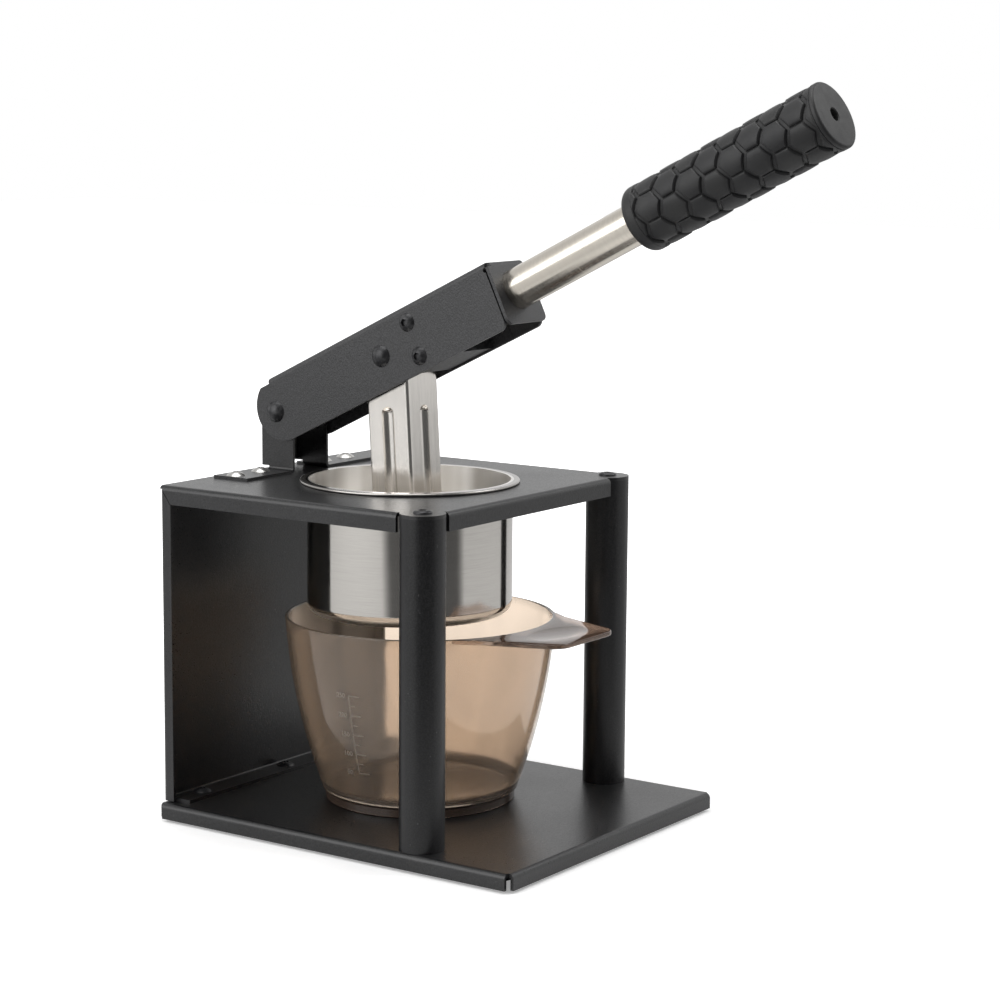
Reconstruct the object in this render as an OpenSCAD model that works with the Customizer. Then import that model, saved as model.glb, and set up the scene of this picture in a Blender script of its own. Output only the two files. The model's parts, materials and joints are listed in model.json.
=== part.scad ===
// Manual citrus press: a folded steel frame, a lever with a rubber grip,
// a press disc on a square stem, a hanging cup and a juice bowl.
// The cup's axis is the middle of the layout, the handle points to -Y.

/* [Frame] */
// Width of the base plate
base_w = 210; // [204:1:250]
// Length of the base plate from front to back
base_l = 246; // [236:1:300]
// Height of the lip folded down round the base plate
base_lip = 9; // [7:0.5:14]
// Gap between that lip and the surface below it
floor_gap = 1.5; // [1:0.5:4]
// Thickness of the frame's sheet
sheet = 2; // [1.6:0.1:2.6]
// Inner radius of a fold in that sheet
fold_in = 1; // [0.6:0.1:2]
// Distance of the top plate's side inside the base plate's side
top_inset = 5.25; // [4:0.25:7]
// Height of the lip folded down round the top plate
top_lip = 10.5; // [8:0.5:16]
// Distance from the cup's axis to the top plate's front face
top_front = 85.8; // [83:0.1:92]
// Distance from the cup's axis to the back of the frame
frame_back = 102.2; // [98:0.1:115]
// Depth of the side flanges of the back panel
side_flange = 8; // [6:0.5:12]
// Depth of the back panel's flange on the base plate
bottom_flange = 17; // [15:0.5:22]
// Depth of the back panel's flange under the top plate
top_flange = 30; // [28:0.5:36]
// Open line of a mitre or a notch between two folds
fold_gap = 0.5; // [0.3:0.1:1]

/* [Posts] */
// Outer diameter of a front post
post_d = 25; // [22:0.5:26]
// Wall of a front post
post_wall = 1.5; // [1:0.1:3]
// Length of a front post between the plates
post_len = 181.5; // [175:0.5:200]
// Distance from a post's axis to the side of the base plate
post_side = 14; // [13.5:0.5:16]
// Distance from the cup's axis to the line of the posts
post_front = 76.4; // [74:0.1:80]
// Length of the threaded plug in each end of a post
plug_len = 14; // [10:1:24]

/* [Fasteners] */
// Diameter of the post and clamp screws
screw_d = 6; // [5:0.5:6]
// Diameter of their button heads
screw_head_d = 10.5; // [9.5:0.5:11]
// Height of their button heads
screw_head_h = 3; // [2.4:0.1:3.6]
// Hexagon socket in their heads, across the corners
socket_d = 4.6; // [3:0.1:5]
// Diameter of the small screws in the bracket and the back panel
small_d = 5; // [4:0.5:5]
// Diameter of their truss heads
small_head_d = 11; // [9:0.5:11]
// Height of their truss heads
small_head_h = 2.4; // [1.8:0.1:3]
// Number of screws in the back panel's lower flange
panel_screw_n = 3; // [2:1:4]
// Distance from the outermost of those screws to the side of the panel
panel_screw_side = 23.75; // [18:0.25:40]
// Radial gap of a screw in its hole, or of a plug in its tube
snug_gap = 0.03; // [0.02:0.01:0.1]
// Radial gap of a pin in a hole that turns on it
run_gap = 0.06; // [0.03:0.01:0.1]

/* [Feet] */
// Diameter of a rubber foot
foot_d = 20; // [14:1:24]
// Distance of a foot's axis from the edges of the base plate
foot_inset = 24; // [23:1:30]

/* [Cup] */
// Outer diameter of the cup
cup_d = 118.4; // [112:0.2:120]
// Wall of the cup
cup_wall = 1.2; // [0.8:0.1:1.6]
// Diameter over the cup's flared rim
cup_rim_d = 126.6; // [124:0.2:132]
// Height of the rolled rim above the top plate
cup_rim_h = 1.8; // [1.4:0.1:2.6]
// Distance from the top plate's surface to the cup's bottom
cup_depth = 75.3; // [70:0.1:75.5]
// Radial gap between the cup and its hole in the top plate
cup_gap = 0.6; // [0.4:0.1:1.2]
// Height of the strainer base at the cup's lower end
strainer_h = 11; // [9:0.5:16]
// Outer radius of the strainer base's lower edge
strainer_r = 7; // [4:0.5:8]
// Diameter of a drain hole
drain_d = 3.2; // [2:0.2:4]
// Number of rings of drain holes round the middle one
drain_rings = 4; // [2:1:5]
// Distance between rings of drain holes
drain_pitch = 10; // [8:0.5:10]

/* [Bowl] */
// Diameter over the bowl's rim
bowl_d = 156; // [148:0.5:156]
// Diameter of the bowl where its wall meets the foot ring
bowl_foot_d = 112; // [100:1:118]
// Height of the bowl
bowl_h = 106.9; // [95:0.1:107.3]
// Wall of the bowl
bowl_wall = 2; // [1.6:0.1:2.6]
// Radius of the bowl wall's upright curve
bowl_curve_r = 345; // [300:5:500]
// Height of the foot ring under the bowl
bowl_foot_h = 5; // [3:0.5:8]
// Distance of the bowl's axis in front of the cup's axis
bowl_front = 7.8; // [4:0.1:10]
// Gap between the bowl and the base plate
bowl_gap = 0.1; // [0.1:0.1:0.4]
// Reach of the bowl's handle tab from the bowl's axis
tab_reach = 116; // [105:1:122]
// Width of the tab at its tip
tab_tip_w = 62; // [50:1:80]
// Width of the tab where it leaves the rim
tab_root_w = 106; // [90:1:112]
// Thickness of the tab
tab_t = 2.6; // [2:0.1:3.4]
// Radius of the tab's corners
tab_r = 12; // [8:0.5:16]
// Depth of the thumb recess in the tab
tab_recess = 0.8; // [0.4:0.1:1.2]
// Diameter of that recess
tab_recess_d = 37; // [24:1:44]
// Distance of that recess from the tab's tip
tab_recess_in = 6; // [4:0.5:12]

/* [Lever] */
// Angle of the lever above the level, as it is stored
lever_angle = 25.7; // [18:0.1:32]
// Distance from the cup's axis back to the hinge pin
hinge_back = 84.3; // [83:0.1:87]
// Height of the hinge pin above the top plate
hinge_h = 35.7; // [33:0.1:42]
// Distance from the hinge pin to the press pivot
arm_pivot = 85.8; // [83:0.1:88]
// Inner width of the lever arm's channel
lever_in_w = 33.2; // [33:0.1:34]
// Sheet of the lever arm
lever_t = 2; // [1.6:0.1:2.4]
// Height of the lever arm above the line through its pins
lever_up = 19.6; // [18:0.1:21]
// Height of the lever arm below that line
lever_down = 19.1; // [18:0.1:21]
// Length of the lever arm in front of the hinge pin
lever_len = 175.5; // [170:0.5:200]
// Distance from the hinge pin back to the arm's round rear end
lever_rear = 13.6; // [12:0.1:16]
// Radius of the lower front corners of the arm's walls
lever_front_r = 4.5; // [2:0.1:8]
// Open line between the arm's walls and its end tab
lever_gap = 0.9; // [0.4:0.1:1.2]
// Diameter of the relief hole at the top of that line
relief_d = 2.6; // [2:0.1:4]
// Height of the end tab's lower edge above the walls' lower edge
tab_rise = 1.5; // [0.5:0.1:3]
// Wall of the sleeve round each pin
sleeve_wall = 2.5; // [1.5:0.1:3]
// Distance from the hinge pin to the rear end of the arm's web
web_start = 2.5; // [2:0.5:6]
// Diameter of the hinge and pivot pins
pin_d = 8; // [6:0.5:9]
// Diameter of the pins' domed heads
pin_head_d = 12.6; // [12:0.1:14]
// Height of the pins' domed heads
pin_head_h = 3.6; // [2.6:0.1:4]

/* [Handle] */
// Outer diameter of the handle tube
tube_d = 23; // [20:0.5:25]
// Wall of the handle tube
tube_wall = 1.5; // [1:0.1:3]
// Height of the tube's axis at the clamp screws above that line
tube_up = 0.6; // [0:0.1:2]
// Angle by which the tube rises above the line through the pins
handle_tilt = 0.95; // [0:0.05:1.5]
// Distance from the hinge pin to the line of the clamp screws
clamp_s = 111; // [109:0.5:116]
// Distance between the two clamp screws of one side
clamp_span = 20.4; // [19:0.1:22]
// Distance from the clamp screws to the handle block's rear face
block_rear = 7.6; // [6.5:0.1:8]
// Length of the handle block
block_len = 32; // [26:1:44]
// Height of the block's underside above the arm's lower edge
block_rise = 1; // [0.5:0.5:4]
// Depth of the clamp screws' holes in the block
clamp_reach = 10; // [7:0.5:12]
// Depth of the tube in the handle block
tube_seat = 16; // [10:1:18]
// Distance from the hinge pin to the grip
grip_start = 264.5; // [240:0.5:280]
// Length of the grip
grip_len = 128; // [110:1:140]
// Outer diameter of the grip
grip_d = 37.2; // [35:0.2:42]
// Depth of the grooves between the grip's pads
pad_depth = 1.8; // [1:0.1:2.4]
// Length of the plain collar at each end of the grip
grip_collar = 8.5; // [6:0.5:12]
// Number of hexagonal pads round the grip
pad_count = 8; // [7:1:9]
// Width of the groove between two pads, at their tops
pad_gap = 2.4; // [2.2:0.1:3.5]
// Length of the plain groove between the pads and a collar
pad_land = 1.4; // [0.8:0.1:2]
// Thickness of the grip's end wall
grip_end = 4; // [3:0.5:8]
// Diameter of the vent hole in the grip's end
vent_d = 7; // [4:0.5:9]

/* [Bracket] */
// Width over the bracket's two uprights
bracket_w = 32.8; // [31:0.1:32.8]
// Sheet of the bracket
bracket_t = 1.6; // [1.4:0.1:2]
// Depth of an upright from front to back
bracket_depth = 25; // [24:0.5:28]
// Distance of the middle of the uprights behind the hinge pin
bracket_shift = 1.2; // [0:0.1:2]
// Distance from the middle to the outer end of a foot
bracket_foot = 58; // [57:0.5:64]
// Distance from the middle to the inner foot screw
foot_screw_in = 29; // [27:0.5:31]
// Distance from the middle to the outer foot screw
foot_screw_out = 51; // [46:0.5:51]
// Height of the slot under the bracket's rear web
web_slot = 2; // [1.5:0.1:4]
// Distance from the hinge pin down to the top of the rear web
web_drop = 8; // [6:0.5:14]

/* [Press] */
// Width of the square stem
stem_w = 29.6; // [27:0.1:31]
// Wall of the square stem
stem_wall = 1.5; // [1.2:0.1:2]
// Outer radius of the stem's corners
stem_r = 2.2; // [2:0.1:3]
// Forward lean of the stem, as it is stored
stem_lean = 3.6; // [2:0.1:6]
// Distance from the press pivot to the underside of the disc
press_len = 95; // [92:0.5:97]
// Width of a groove pressed into the stem
groove_w = 9; // [6:0.5:10]
// Depth of such a groove
groove_depth = 3.4; // [2.5:0.1:4]
// Distance from the press pivot down to the top of the grooves
groove_top = 33.5; // [26:0.5:40]
// Diameter of the press disc
disc_d = 92; // [80:1:93]
// Thickness of the press disc's plate
disc_t = 2.5; // [2:0.1:4]
// Height of the disc's turned-up edge
disc_edge = 5; // [4:0.5:8]
// Height of the plug in the stem's lower end
stem_plug_h = 16; // [14:1:24]
// Depth of the disc screws' holes above the disc's underside
disc_screw_reach = 13.5; // [10:0.5:14]
// Distance between the two disc screws
disc_screw_span = 10; // [9:0.5:12]

/* [Hidden] */
$fn = 64;

// Overshoot of a cutting shape, so that no skin is left
eps = 0.5;
// Reach of a cutting shape that takes away all that lies past a line
past = 40;

// Heights of the frame
fold_out = fold_in + sheet;
base_top = floor_gap + base_lip;
top_w = base_w - 2 * top_inset;
plate_top = base_top + post_len + sheet;
plate_under = plate_top - sheet;
base_front = frame_back - base_l;
post_x = base_w / 2 - post_side;
post_r = post_d / 2;

// Where a lip stops beside a post, clear of the post's round side
lip_clear = 0.8;
side_lip_in = top_w / 2 - sheet - post_x;
side_lip_start = sqrt(pow(post_r + lip_clear, 2) - pow(side_lip_in, 2)) - post_front;
front_lip_in = top_front - sheet - post_front;
front_lip_end = post_x - sqrt(pow(post_r + lip_clear, 2) - pow(front_lip_in, 2));

// Hinge and pivot
hinge_z = plate_top + hinge_h;
bracket_r = bracket_depth / 2;
lever_half = lever_in_w / 2 + lever_t;
lever_fold = lever_t + 1;
end_tab_s = lever_len - lever_t;

// The row of bracket screws stands a little behind the hinge pin
screw_row_back = 2.9;
// Gap between a truss head and the fold beside it
head_clear = 0.3;
// Gap between the tip of a screw and the floor of its hole
tip_clear = 2;

// The small screws and their nuts
bracket_screw_x = [-foot_screw_out, -foot_screw_in, foot_screw_in, foot_screw_out];
bracket_screw_y = hinge_back + screw_row_back;
panel_screw_y = frame_back - fold_out - small_head_d / 2 - head_clear;
panel_screw_span = top_w - 2 * panel_screw_side;
nut_d = small_d * 1.9;
nut_h = small_d * 0.8;

// Recesses in the screw heads
socket_depth = 1.95;
cross_len = 4.6;
cross_w = 1.2;
cross_depth = 1.4;

// Handle
block_s = clamp_s - block_rear;
block_front = block_s + block_len;
tube_start = block_front - tube_seat;
grip_stop = grip_start + grip_len;
tube_stop = grip_stop - grip_end;
grip_r = grip_d / 2;
pad_pitch = 2 * PI * grip_r / pad_count;
pad_row = pad_pitch * cos(30);
pad_rows = floor((grip_len - 2 * grip_collar) / pad_row);

// The whole press is centred over its own outline
grip_round = 1.5;
handle_angle = lever_angle + handle_tilt;
reach_clamp = clamp_s * cos(lever_angle) - tube_up * sin(lever_angle) - hinge_back;
reach_grip = (grip_stop - clamp_s) * cos(handle_angle) + grip_r * sin(handle_angle);
reach_front = reach_clamp + reach_grip - grip_round * (cos(handle_angle) + sin(handle_angle) - 1);
centre_y = (reach_front - frame_back) / 2;

// Puts a piece of the frame where the centred press has it
module placed() {
  translate([0, centre_y, 0]) children();
}

// Puts a piece drawn along the lever at its place and angle
module on_lever() {
  placed() translate([0, hinge_back, hinge_z]) rotate([-lever_angle, 0, 0]) children();
}

// Puts a piece drawn along the tube's axis at its place and tilt on the lever
module at_tube() {
  translate([0, -clamp_s, tube_up]) rotate([-handle_tilt, 0, 0]) translate([0, clamp_s, 0]) children();
}

// Puts a piece drawn under the press pivot at its place and lean
module on_stem() {
  on_lever() translate([0, -arm_pivot, 0]) rotate([lever_angle - stem_lean, 0, 0]) children();
}

// Quarter of a bend, centred on its own bend axis
module bend2d(t, ri) {
  intersection() {
    difference() {
      circle(r = ri + t);
      circle(r = ri);
    }
    square(ri + t);
  }
}

// Folded channel, web on top and legs down to y = 0
module channel2d(w, h, t, ri) {
  r = ri + t;
  translate([r - w / 2, h - t]) square([w - 2 * r, t]);
  for (side = [0, 1]) mirror([side, 0]) {
    translate([w / 2 - t, 0]) square([t, h - r]);
    translate([w / 2 - r, h - r]) bend2d(t, ri);
  }
}

// Folded angle, one leg along +x on top and one down at its right end
module angle2d(w, h, t, ri) {
  r = ri + t;
  translate([0, h - t]) square([w - r, t]);
  translate([w - t, 0]) square([t, h - r]);
  translate([w - r, h - r]) bend2d(t, ri);
}

// Rounded square outline
module soft_square2d(w, r) {
  square([w - 2 * r, w], center = true);
  square([w, w - 2 * r], center = true);
  for (x = [-1, 1]) {
    for (y = [-1, 1]) translate([x * (w / 2 - r), y * (w / 2 - r)]) circle(r = r);
  }
}

// Extrudes an outline drawn in the x-z plane along +y
module along_y(len) {
  translate([0, len, 0]) rotate([90, 0, 0]) linear_extrude(len) children();
}

// Extrudes an outline drawn in the y-z plane along x, centred
module across_x(len) {
  rotate([90, 0, 90]) linear_extrude(len, center = true) children();
}

// Low dome with a flat seat at z = 0
module dome(d, h) {
  r = (d * d / 4 + h * h) / (2 * h);
  intersection() {
    translate([0, 0, h - r]) sphere(r = r);
    cylinder(d = d, h = h);
  }
}

// Button-head screw, seat at z = 0 and shank downwards
module button_screw(len) {
  difference() {
    dome(screw_head_d, screw_head_h);
    translate([0, 0, screw_head_h - socket_depth]) cylinder(d = socket_d, h = screw_head_h, $fn = 6);
  }
  translate([0, 0, -len]) cylinder(d = screw_d - 2 * snug_gap, h = len);
}

// Truss-head screw with a cross recess, seat at z = 0 and shank downwards
module truss_screw(len) {
  difference() {
    dome(small_head_d, small_head_h);
    for (turn = [0, 90]) rotate([0, 0, turn]) {
      translate([-cross_len / 2, -cross_w / 2, small_head_h - cross_depth]) {
        cube([cross_len, cross_w, small_head_h]);
      }
    }
  }
  translate([0, 0, -len]) cylinder(d = small_d - 2 * snug_gap, h = len);
}

// Domed rivet pin across x, over the two walls of the lever arm
module rivet_pin() {
  rotate([0, 90, 0]) cylinder(d = pin_d, h = 2 * lever_half, center = true);
  for (side = [0, 1]) mirror([side, 0, 0]) translate([lever_half, 0, 0]) rotate([0, 90, 0]) {
    dome(pin_head_d, pin_head_h);
  }
}

// Sleeve round a pin, between two walls that are w apart outside
module pin_sleeve(w, wall) {
  rotate([0, 90, 0]) difference() {
    cylinder(d = pin_d + 2 * sleeve_wall, h = w - 2 * wall - 2 * snug_gap, center = true);
    cylinder(d = pin_d + 2 * run_gap, h = w, center = true);
  }
}

module at_posts() {
  for (x = [-post_x, post_x]) translate([x, -post_front, 0]) children();
}

module at_panel_screws() {
  pitch = panel_screw_span / (panel_screw_n - 1);
  for (i = [0 : panel_screw_n - 1]) {
    translate([i * pitch - panel_screw_span / 2, panel_screw_y, 0]) children();
  }
}

module at_bracket_screws() {
  for (x = bracket_screw_x) translate([x, bracket_screw_y, 0]) children();
}

// Folded pan with four lips and a small notch at each corner
module base_plate() {
  notch = fold_out + fold_gap;
  color("#1d1d1f") placed() difference() {
    union() {
      translate([0, base_front + notch, floor_gap]) along_y(base_l - 2 * notch) {
        channel2d(base_w, base_lip, sheet, fold_in);
      }
      translate([0, frame_back - base_l / 2, floor_gap]) across_x(base_w - 2 * notch) {
        channel2d(base_l, base_lip, sheet, fold_in);
      }
    }
    at_posts() translate([0, 0, floor_gap]) cylinder(d = screw_d, h = base_lip + eps);
    at_panel_screws() translate([0, 0, floor_gap]) cylinder(d = small_d, h = base_lip + eps);
  }
}

// Wedge above the mitre line between a top lip and a side flange
module mitre2d(shift) {
  polygon([
    [frame_back + shift, plate_top + past],
    [frame_back + shift, plate_top],
    [frame_back + shift - side_flange * 2, plate_top - top_lip * 2],
    [frame_back + shift - side_flange * 2 - past, plate_top - top_lip * 2],
    [frame_back + shift - side_flange * 2 - past, plate_top + past]
  ]);
}

// Back wall with side flanges, a foot on the base and a flange under the top
module back_panel() {
  panel_h = plate_under - base_top;
  flat_w = top_w - 2 * fold_out - 2 * fold_gap;
  color("#1d1d1f") placed() difference() {
    union() {
      intersection() {
        translate([0, frame_back - side_flange, base_top]) linear_extrude(panel_h) {
          channel2d(top_w, side_flange, sheet, fold_in);
        }
        union() {
          translate([-flat_w / 2, 0, base_top + fold_out]) {
            cube([flat_w, frame_back * 2, panel_h - 2 * fold_out]);
          }
          difference() {
            translate([-top_w, 0, base_top + fold_gap]) cube([top_w * 2, frame_back * 2, panel_h]);
            across_x(top_w * 2) mitre2d(fold_gap);
            translate([-flat_w / 2, 0, 0]) cube([flat_w, frame_back * 2, plate_top]);
          }
        }
      }
      translate([0, frame_back - bottom_flange, base_top]) mirror([0, 0, 1]) {
        translate([0, 0, -panel_h / 2]) across_x(flat_w) {
          angle2d(bottom_flange, panel_h / 2, sheet, fold_in);
        }
      }
      translate([0, frame_back - top_flange, base_top + panel_h / 2]) across_x(flat_w) {
        angle2d(top_flange, panel_h / 2, sheet, fold_in);
      }
    }
    at_panel_screws() translate([0, 0, base_top - eps]) cylinder(d = small_d, h = sheet + 2 * eps);
    at_bracket_screws() translate([0, 0, plate_under - sheet - eps]) {
      cylinder(d = small_d, h = sheet + 2 * eps);
    }
  }
}

// Top plate with three lips, two round ears over the posts and the cup hole
module top_plate() {
  flat_w = top_w - 2 * fold_out;
  flat_front = fold_out - top_front;
  color("#1d1d1f") placed() difference() {
    union() {
      difference() {
        translate([0, side_lip_start, plate_top - top_lip]) along_y(frame_back - side_lip_start) {
          channel2d(top_w, top_lip, sheet, fold_in);
        }
        difference() {
          across_x(top_w * 2) {
            translate([frame_back - side_flange * 2, plate_top - top_lip * 2]) {
              square([side_flange * 3, top_lip * 3]);
            }
          }
          across_x(top_w * 2) mitre2d(0);
          translate([-top_w, 0, plate_under]) cube([top_w * 2, frame_back + eps, sheet + eps]);
        }
      }
      translate([-flat_w / 2, flat_front, plate_under]) {
        cube([flat_w, side_lip_start - flat_front + eps, sheet]);
      }
      translate([0, flat_front + 1, plate_top - top_lip]) across_x(2 * front_lip_end) {
        mirror([1, 0]) angle2d(fold_out + 1, top_lip, sheet, fold_in);
      }
      at_posts() translate([0, 0, plate_under]) cylinder(r = post_r, h = sheet);
    }
    translate([0, 0, plate_under - eps]) cylinder(d = cup_d + 2 * cup_gap, h = sheet + 2 * eps, $fn = 96);
    at_posts() translate([0, 0, plate_under - eps]) cylinder(d = screw_d, h = sheet + 2 * eps);
    at_bracket_screws() translate([0, 0, plate_under - eps]) cylinder(d = small_d, h = sheet + 2 * eps);
  }
}

module post(side) {
  color("#222224") placed() translate([side * post_x, -post_front, base_top]) difference() {
    cylinder(d = post_d, h = post_len);
    translate([0, 0, -eps]) cylinder(d = post_d - 2 * post_wall, h = post_len + 2 * eps);
  }
}

module post_left() {
  post(-1);
}

module post_right() {
  post(1);
}

// Round threaded plugs, one in each end of each post
module post_plugs() {
  color("#8c8c8c") placed() at_posts() for (z = [base_top, plate_under - plug_len]) {
    translate([0, 0, z]) difference() {
      cylinder(d = post_d - 2 * post_wall - 2 * snug_gap, h = plug_len);
      translate([0, 0, -eps]) cylinder(d = screw_d, h = plug_len + 2 * eps);
    }
  }
}

module post_top_screws() {
  color("#2a2a2c") placed() at_posts() translate([0, 0, plate_top]) button_screw(plug_len - tip_clear);
}

module post_bottom_screws() {
  color("#2a2a2c") placed() at_posts() translate([0, 0, base_top - sheet]) rotate([180, 0, 0]) {
    button_screw(plug_len - tip_clear);
  }
}

module panel_screws() {
  color("#2a2a2c") placed() at_panel_screws() translate([0, 0, base_top + sheet]) {
    truss_screw(2 * sheet + nut_h - snug_gap);
  }
}

// Hexagon nut hanging under the plane z = 0
module nut() {
  translate([0, 0, -nut_h]) difference() {
    cylinder(d = nut_d, h = nut_h, $fn = 6);
    translate([0, 0, -eps]) cylinder(d = small_d, h = nut_h + 2 * eps);
  }
}

module panel_nuts() {
  color("#8c8c8c") placed() at_panel_screws() translate([0, 0, base_top - sheet]) nut();
}

// Rubber feet in the corners of the base pan
module rubber_feet() {
  top = base_top - sheet;
  tread_edge = 0.8;
  tread_r = foot_d / 2 - tread_edge;
  color("#151515") placed() for (x = [-1, 1]) {
    for (y = [base_front + foot_inset, frame_back - foot_inset]) {
      translate([x * (base_w / 2 - foot_inset), y, 0]) rotate_extrude() {
        polygon([[0, 0], [tread_r - tread_edge, 0], [tread_r, tread_edge], [foot_d / 2, top], [0, top]]);
      }
    }
  }
}

// Side outline of the bracket in y-z, hinge pin at the origin
module bracket_side2d() {
  circle(r = bracket_r);
  translate([-bracket_r, -hinge_h]) square([bracket_depth, hinge_h]);
}

// Two uprights joined by a rear web, with feet turned outward
module hinge_bracket() {
  ri = 1.2;
  r = bracket_t + ri;
  color("#1d1d1f") placed() translate([0, hinge_back, plate_top]) difference() {
    translate([0, bracket_shift, 0]) {
      difference() {
        translate([0, -bracket_r, r]) linear_extrude(hinge_h + bracket_r) {
          channel2d(bracket_w, bracket_depth, bracket_t, ri);
        }
        difference() {
          translate([-bracket_w, -bracket_depth, 0]) cube([2 * bracket_w, 2 * bracket_depth, 3 * hinge_h]);
          translate([0, 0, hinge_h]) across_x(3 * bracket_w) bracket_side2d();
        }
        translate([r - bracket_w / 2, 0, hinge_h - web_drop]) {
          cube([bracket_w - 2 * r, bracket_depth, hinge_h]);
        }
        translate([-bracket_w, bracket_r - r - web_slot * 2, 0]) {
          cube([2 * bracket_w, bracket_depth, web_slot + r - bracket_t]);
        }
      }
      for (side = [0, 1]) mirror([side, 0, 0]) {
        translate([bracket_w / 2 - bracket_t, -bracket_r, 0]) mirror([0, 0, 1]) {
          translate([bracket_foot - bracket_w / 2 + bracket_t, 0, -r - eps]) mirror([1, 0, 0]) {
            along_y(bracket_depth - r - web_slot * 2) {
              angle2d(bracket_foot - bracket_w / 2 + bracket_t, r + eps, bracket_t, ri);
            }
          }
        }
        translate([bracket_w / 2 + ri, -bracket_r, 0]) {
          cube([bracket_foot - bracket_w / 2 - ri, bracket_depth, bracket_t]);
        }
      }
    }
    translate([0, 0, hinge_h]) rotate([0, 90, 0]) {
      cylinder(d = pin_d + 2 * run_gap, h = 2 * bracket_w, center = true);
    }
    translate([0, bracket_screw_y - hinge_back, -eps]) for (x = bracket_screw_x) {
      translate([x, 0, 0]) cylinder(d = small_d, h = bracket_t + 2 * eps);
    }
  }
}

module bracket_screws() {
  color("#c9c9c7") placed() at_bracket_screws() translate([0, 0, plate_top + bracket_t]) {
    truss_screw(bracket_t + 2 * sheet + nut_h - snug_gap);
  }
}

module bracket_nuts() {
  color("#8c8c8c") placed() at_bracket_screws() translate([0, 0, plate_under - sheet]) nut();
}

module hinge_sleeve() {
  color("#8c8c8c") placed() translate([0, hinge_back, hinge_z]) pin_sleeve(bracket_w, bracket_t);
}

// Cup wall with a rolled rim that rests on the top plate
module juice_cup() {
  r = cup_d / 2;
  roll = cup_rim_h / 2;
  rim_r = cup_rim_d / 2;
  lower = plate_top - cup_depth + strainer_h;
  color("#d2d0cc") placed() rotate_extrude($fn = 96) {
    translate([r - cup_wall, lower]) square([cup_wall, plate_top - lower + roll]);
    translate([r - cup_wall, plate_top]) square([rim_r - roll - r + cup_wall, cup_rim_h]);
    translate([rim_r - roll, plate_top + roll]) circle(r = roll);
  }
}

// Shallow pan with drain holes that closes the cup's lower end
module strainer_base() {
  r = cup_d / 2;
  bottom = plate_top - cup_depth;
  spigot = 3;
  inner_r = strainer_r - cup_wall;
  color("#c9c7c3") placed() difference() {
    rotate_extrude($fn = 96) {
      translate([0, bottom]) square([r - strainer_r, cup_wall]);
      translate([r - strainer_r, bottom + strainer_r]) mirror([0, 1]) bend2d(cup_wall, inner_r);
      translate([r - cup_wall, bottom + strainer_r]) square([cup_wall, strainer_h - strainer_r]);
      translate([r - 2 * cup_wall - snug_gap, bottom + strainer_h - spigot]) {
        square([cup_wall, 2 * spigot]);
      }
      translate([r - 2 * cup_wall - snug_gap, bottom + strainer_h - spigot]) {
        square([cup_wall + snug_gap, spigot]);
      }
    }
    translate([0, 0, bottom - eps]) cylinder(d = drain_d, h = cup_wall + 2 * eps);
    for (ring = [1 : drain_rings]) {
      for (i = [0 : 6 * ring - 1]) rotate([0, 0, i * 60 / ring]) {
        translate([ring * drain_pitch, 0, bottom - eps]) cylinder(d = drain_d, h = cup_wall + 2 * eps, $fn = 16);
      }
    }
  }
}

// Half outline of the bowl, shrunk by inset towards its inside
module bowl_half2d(inset) {
  low = [bowl_foot_d / 2, bowl_foot_h];
  high = [bowl_d / 2, bowl_h];
  mid = (low + high) / 2;
  chord = norm(high - low);
  dir = (high - low) / chord;
  back = sqrt(pow(bowl_curve_r, 2) - pow(chord / 2, 2));
  centre = [mid[0] - back * dir[1], mid[1] + back * dir[0]];
  intersection() {
    translate(centre) circle(r = bowl_curve_r - inset, $fn = 360);
    translate([0, bowl_foot_h + inset]) square([bowl_d, bowl_h - bowl_foot_h + (inset > 0 ? eps : -inset)]);
  }
}

// Plan of the bowl's handle tab, bowl axis at the origin
module tab2d() {
  half = tab_tip_w / 2;
  polygon([
    [-tab_root_w / 2, -bowl_d * 0.35],
    [tab_root_w / 2, -bowl_d * 0.35],
    [half, tab_r - tab_reach],
    [half - tab_r, tab_r - tab_reach],
    [half - tab_r, -tab_reach],
    [tab_r - half, -tab_reach],
    [tab_r - half, tab_r - tab_reach],
    [-half, tab_r - tab_reach]
  ]);
  for (side = [-1, 1]) translate([side * (half - tab_r), tab_r - tab_reach]) circle(r = tab_r);
}

// Bowl on a foot ring, with a flat handle tab at its rim
module juice_bowl() {
  ring_r = bowl_foot_d / 2 - 1;
  color([0.42, 0.33, 0.27, 0.55]) placed() translate([0, -bowl_front, base_top + bowl_gap]) {
    difference() {
      union() {
        rotate_extrude($fn = 96) bowl_half2d(0);
        translate([0, 0, bowl_h - tab_t]) linear_extrude(tab_t) tab2d();
        difference() {
          cylinder(r = ring_r, h = bowl_foot_h + eps, $fn = 96);
          translate([0, 0, -eps]) cylinder(r = ring_r - bowl_wall, h = bowl_foot_h + eps, $fn = 96);
        }
      }
      rotate_extrude($fn = 96) bowl_half2d(bowl_wall);
      translate([0, tab_recess_d / 2 + tab_recess_in - tab_reach, bowl_h - tab_recess]) {
        cylinder(d = tab_recess_d, h = tab_recess + eps);
      }
    }
  }
}

// Side outline of the lever arm, y runs back along the arm
module lever_side2d() {
  r = (lever_up + lever_down) / 2;
  middle = (lever_up - lever_down) / 2;
  front = lever_len - lever_t - lever_gap;
  body = front + lever_rear - r;
  difference() {
    union() {
      translate([lever_rear - r, middle]) circle(r = r);
      translate([-front, lever_front_r - lever_down]) square([body, 2 * r - lever_front_r]);
      translate([lever_front_r - front, -lever_down]) square([body - lever_front_r, r]);
      translate([lever_front_r - front, lever_front_r - lever_down]) circle(r = lever_front_r);
    }
    translate([-front, lever_up - lever_fold - relief_d / 2]) circle(d = relief_d);
  }
}

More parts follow.
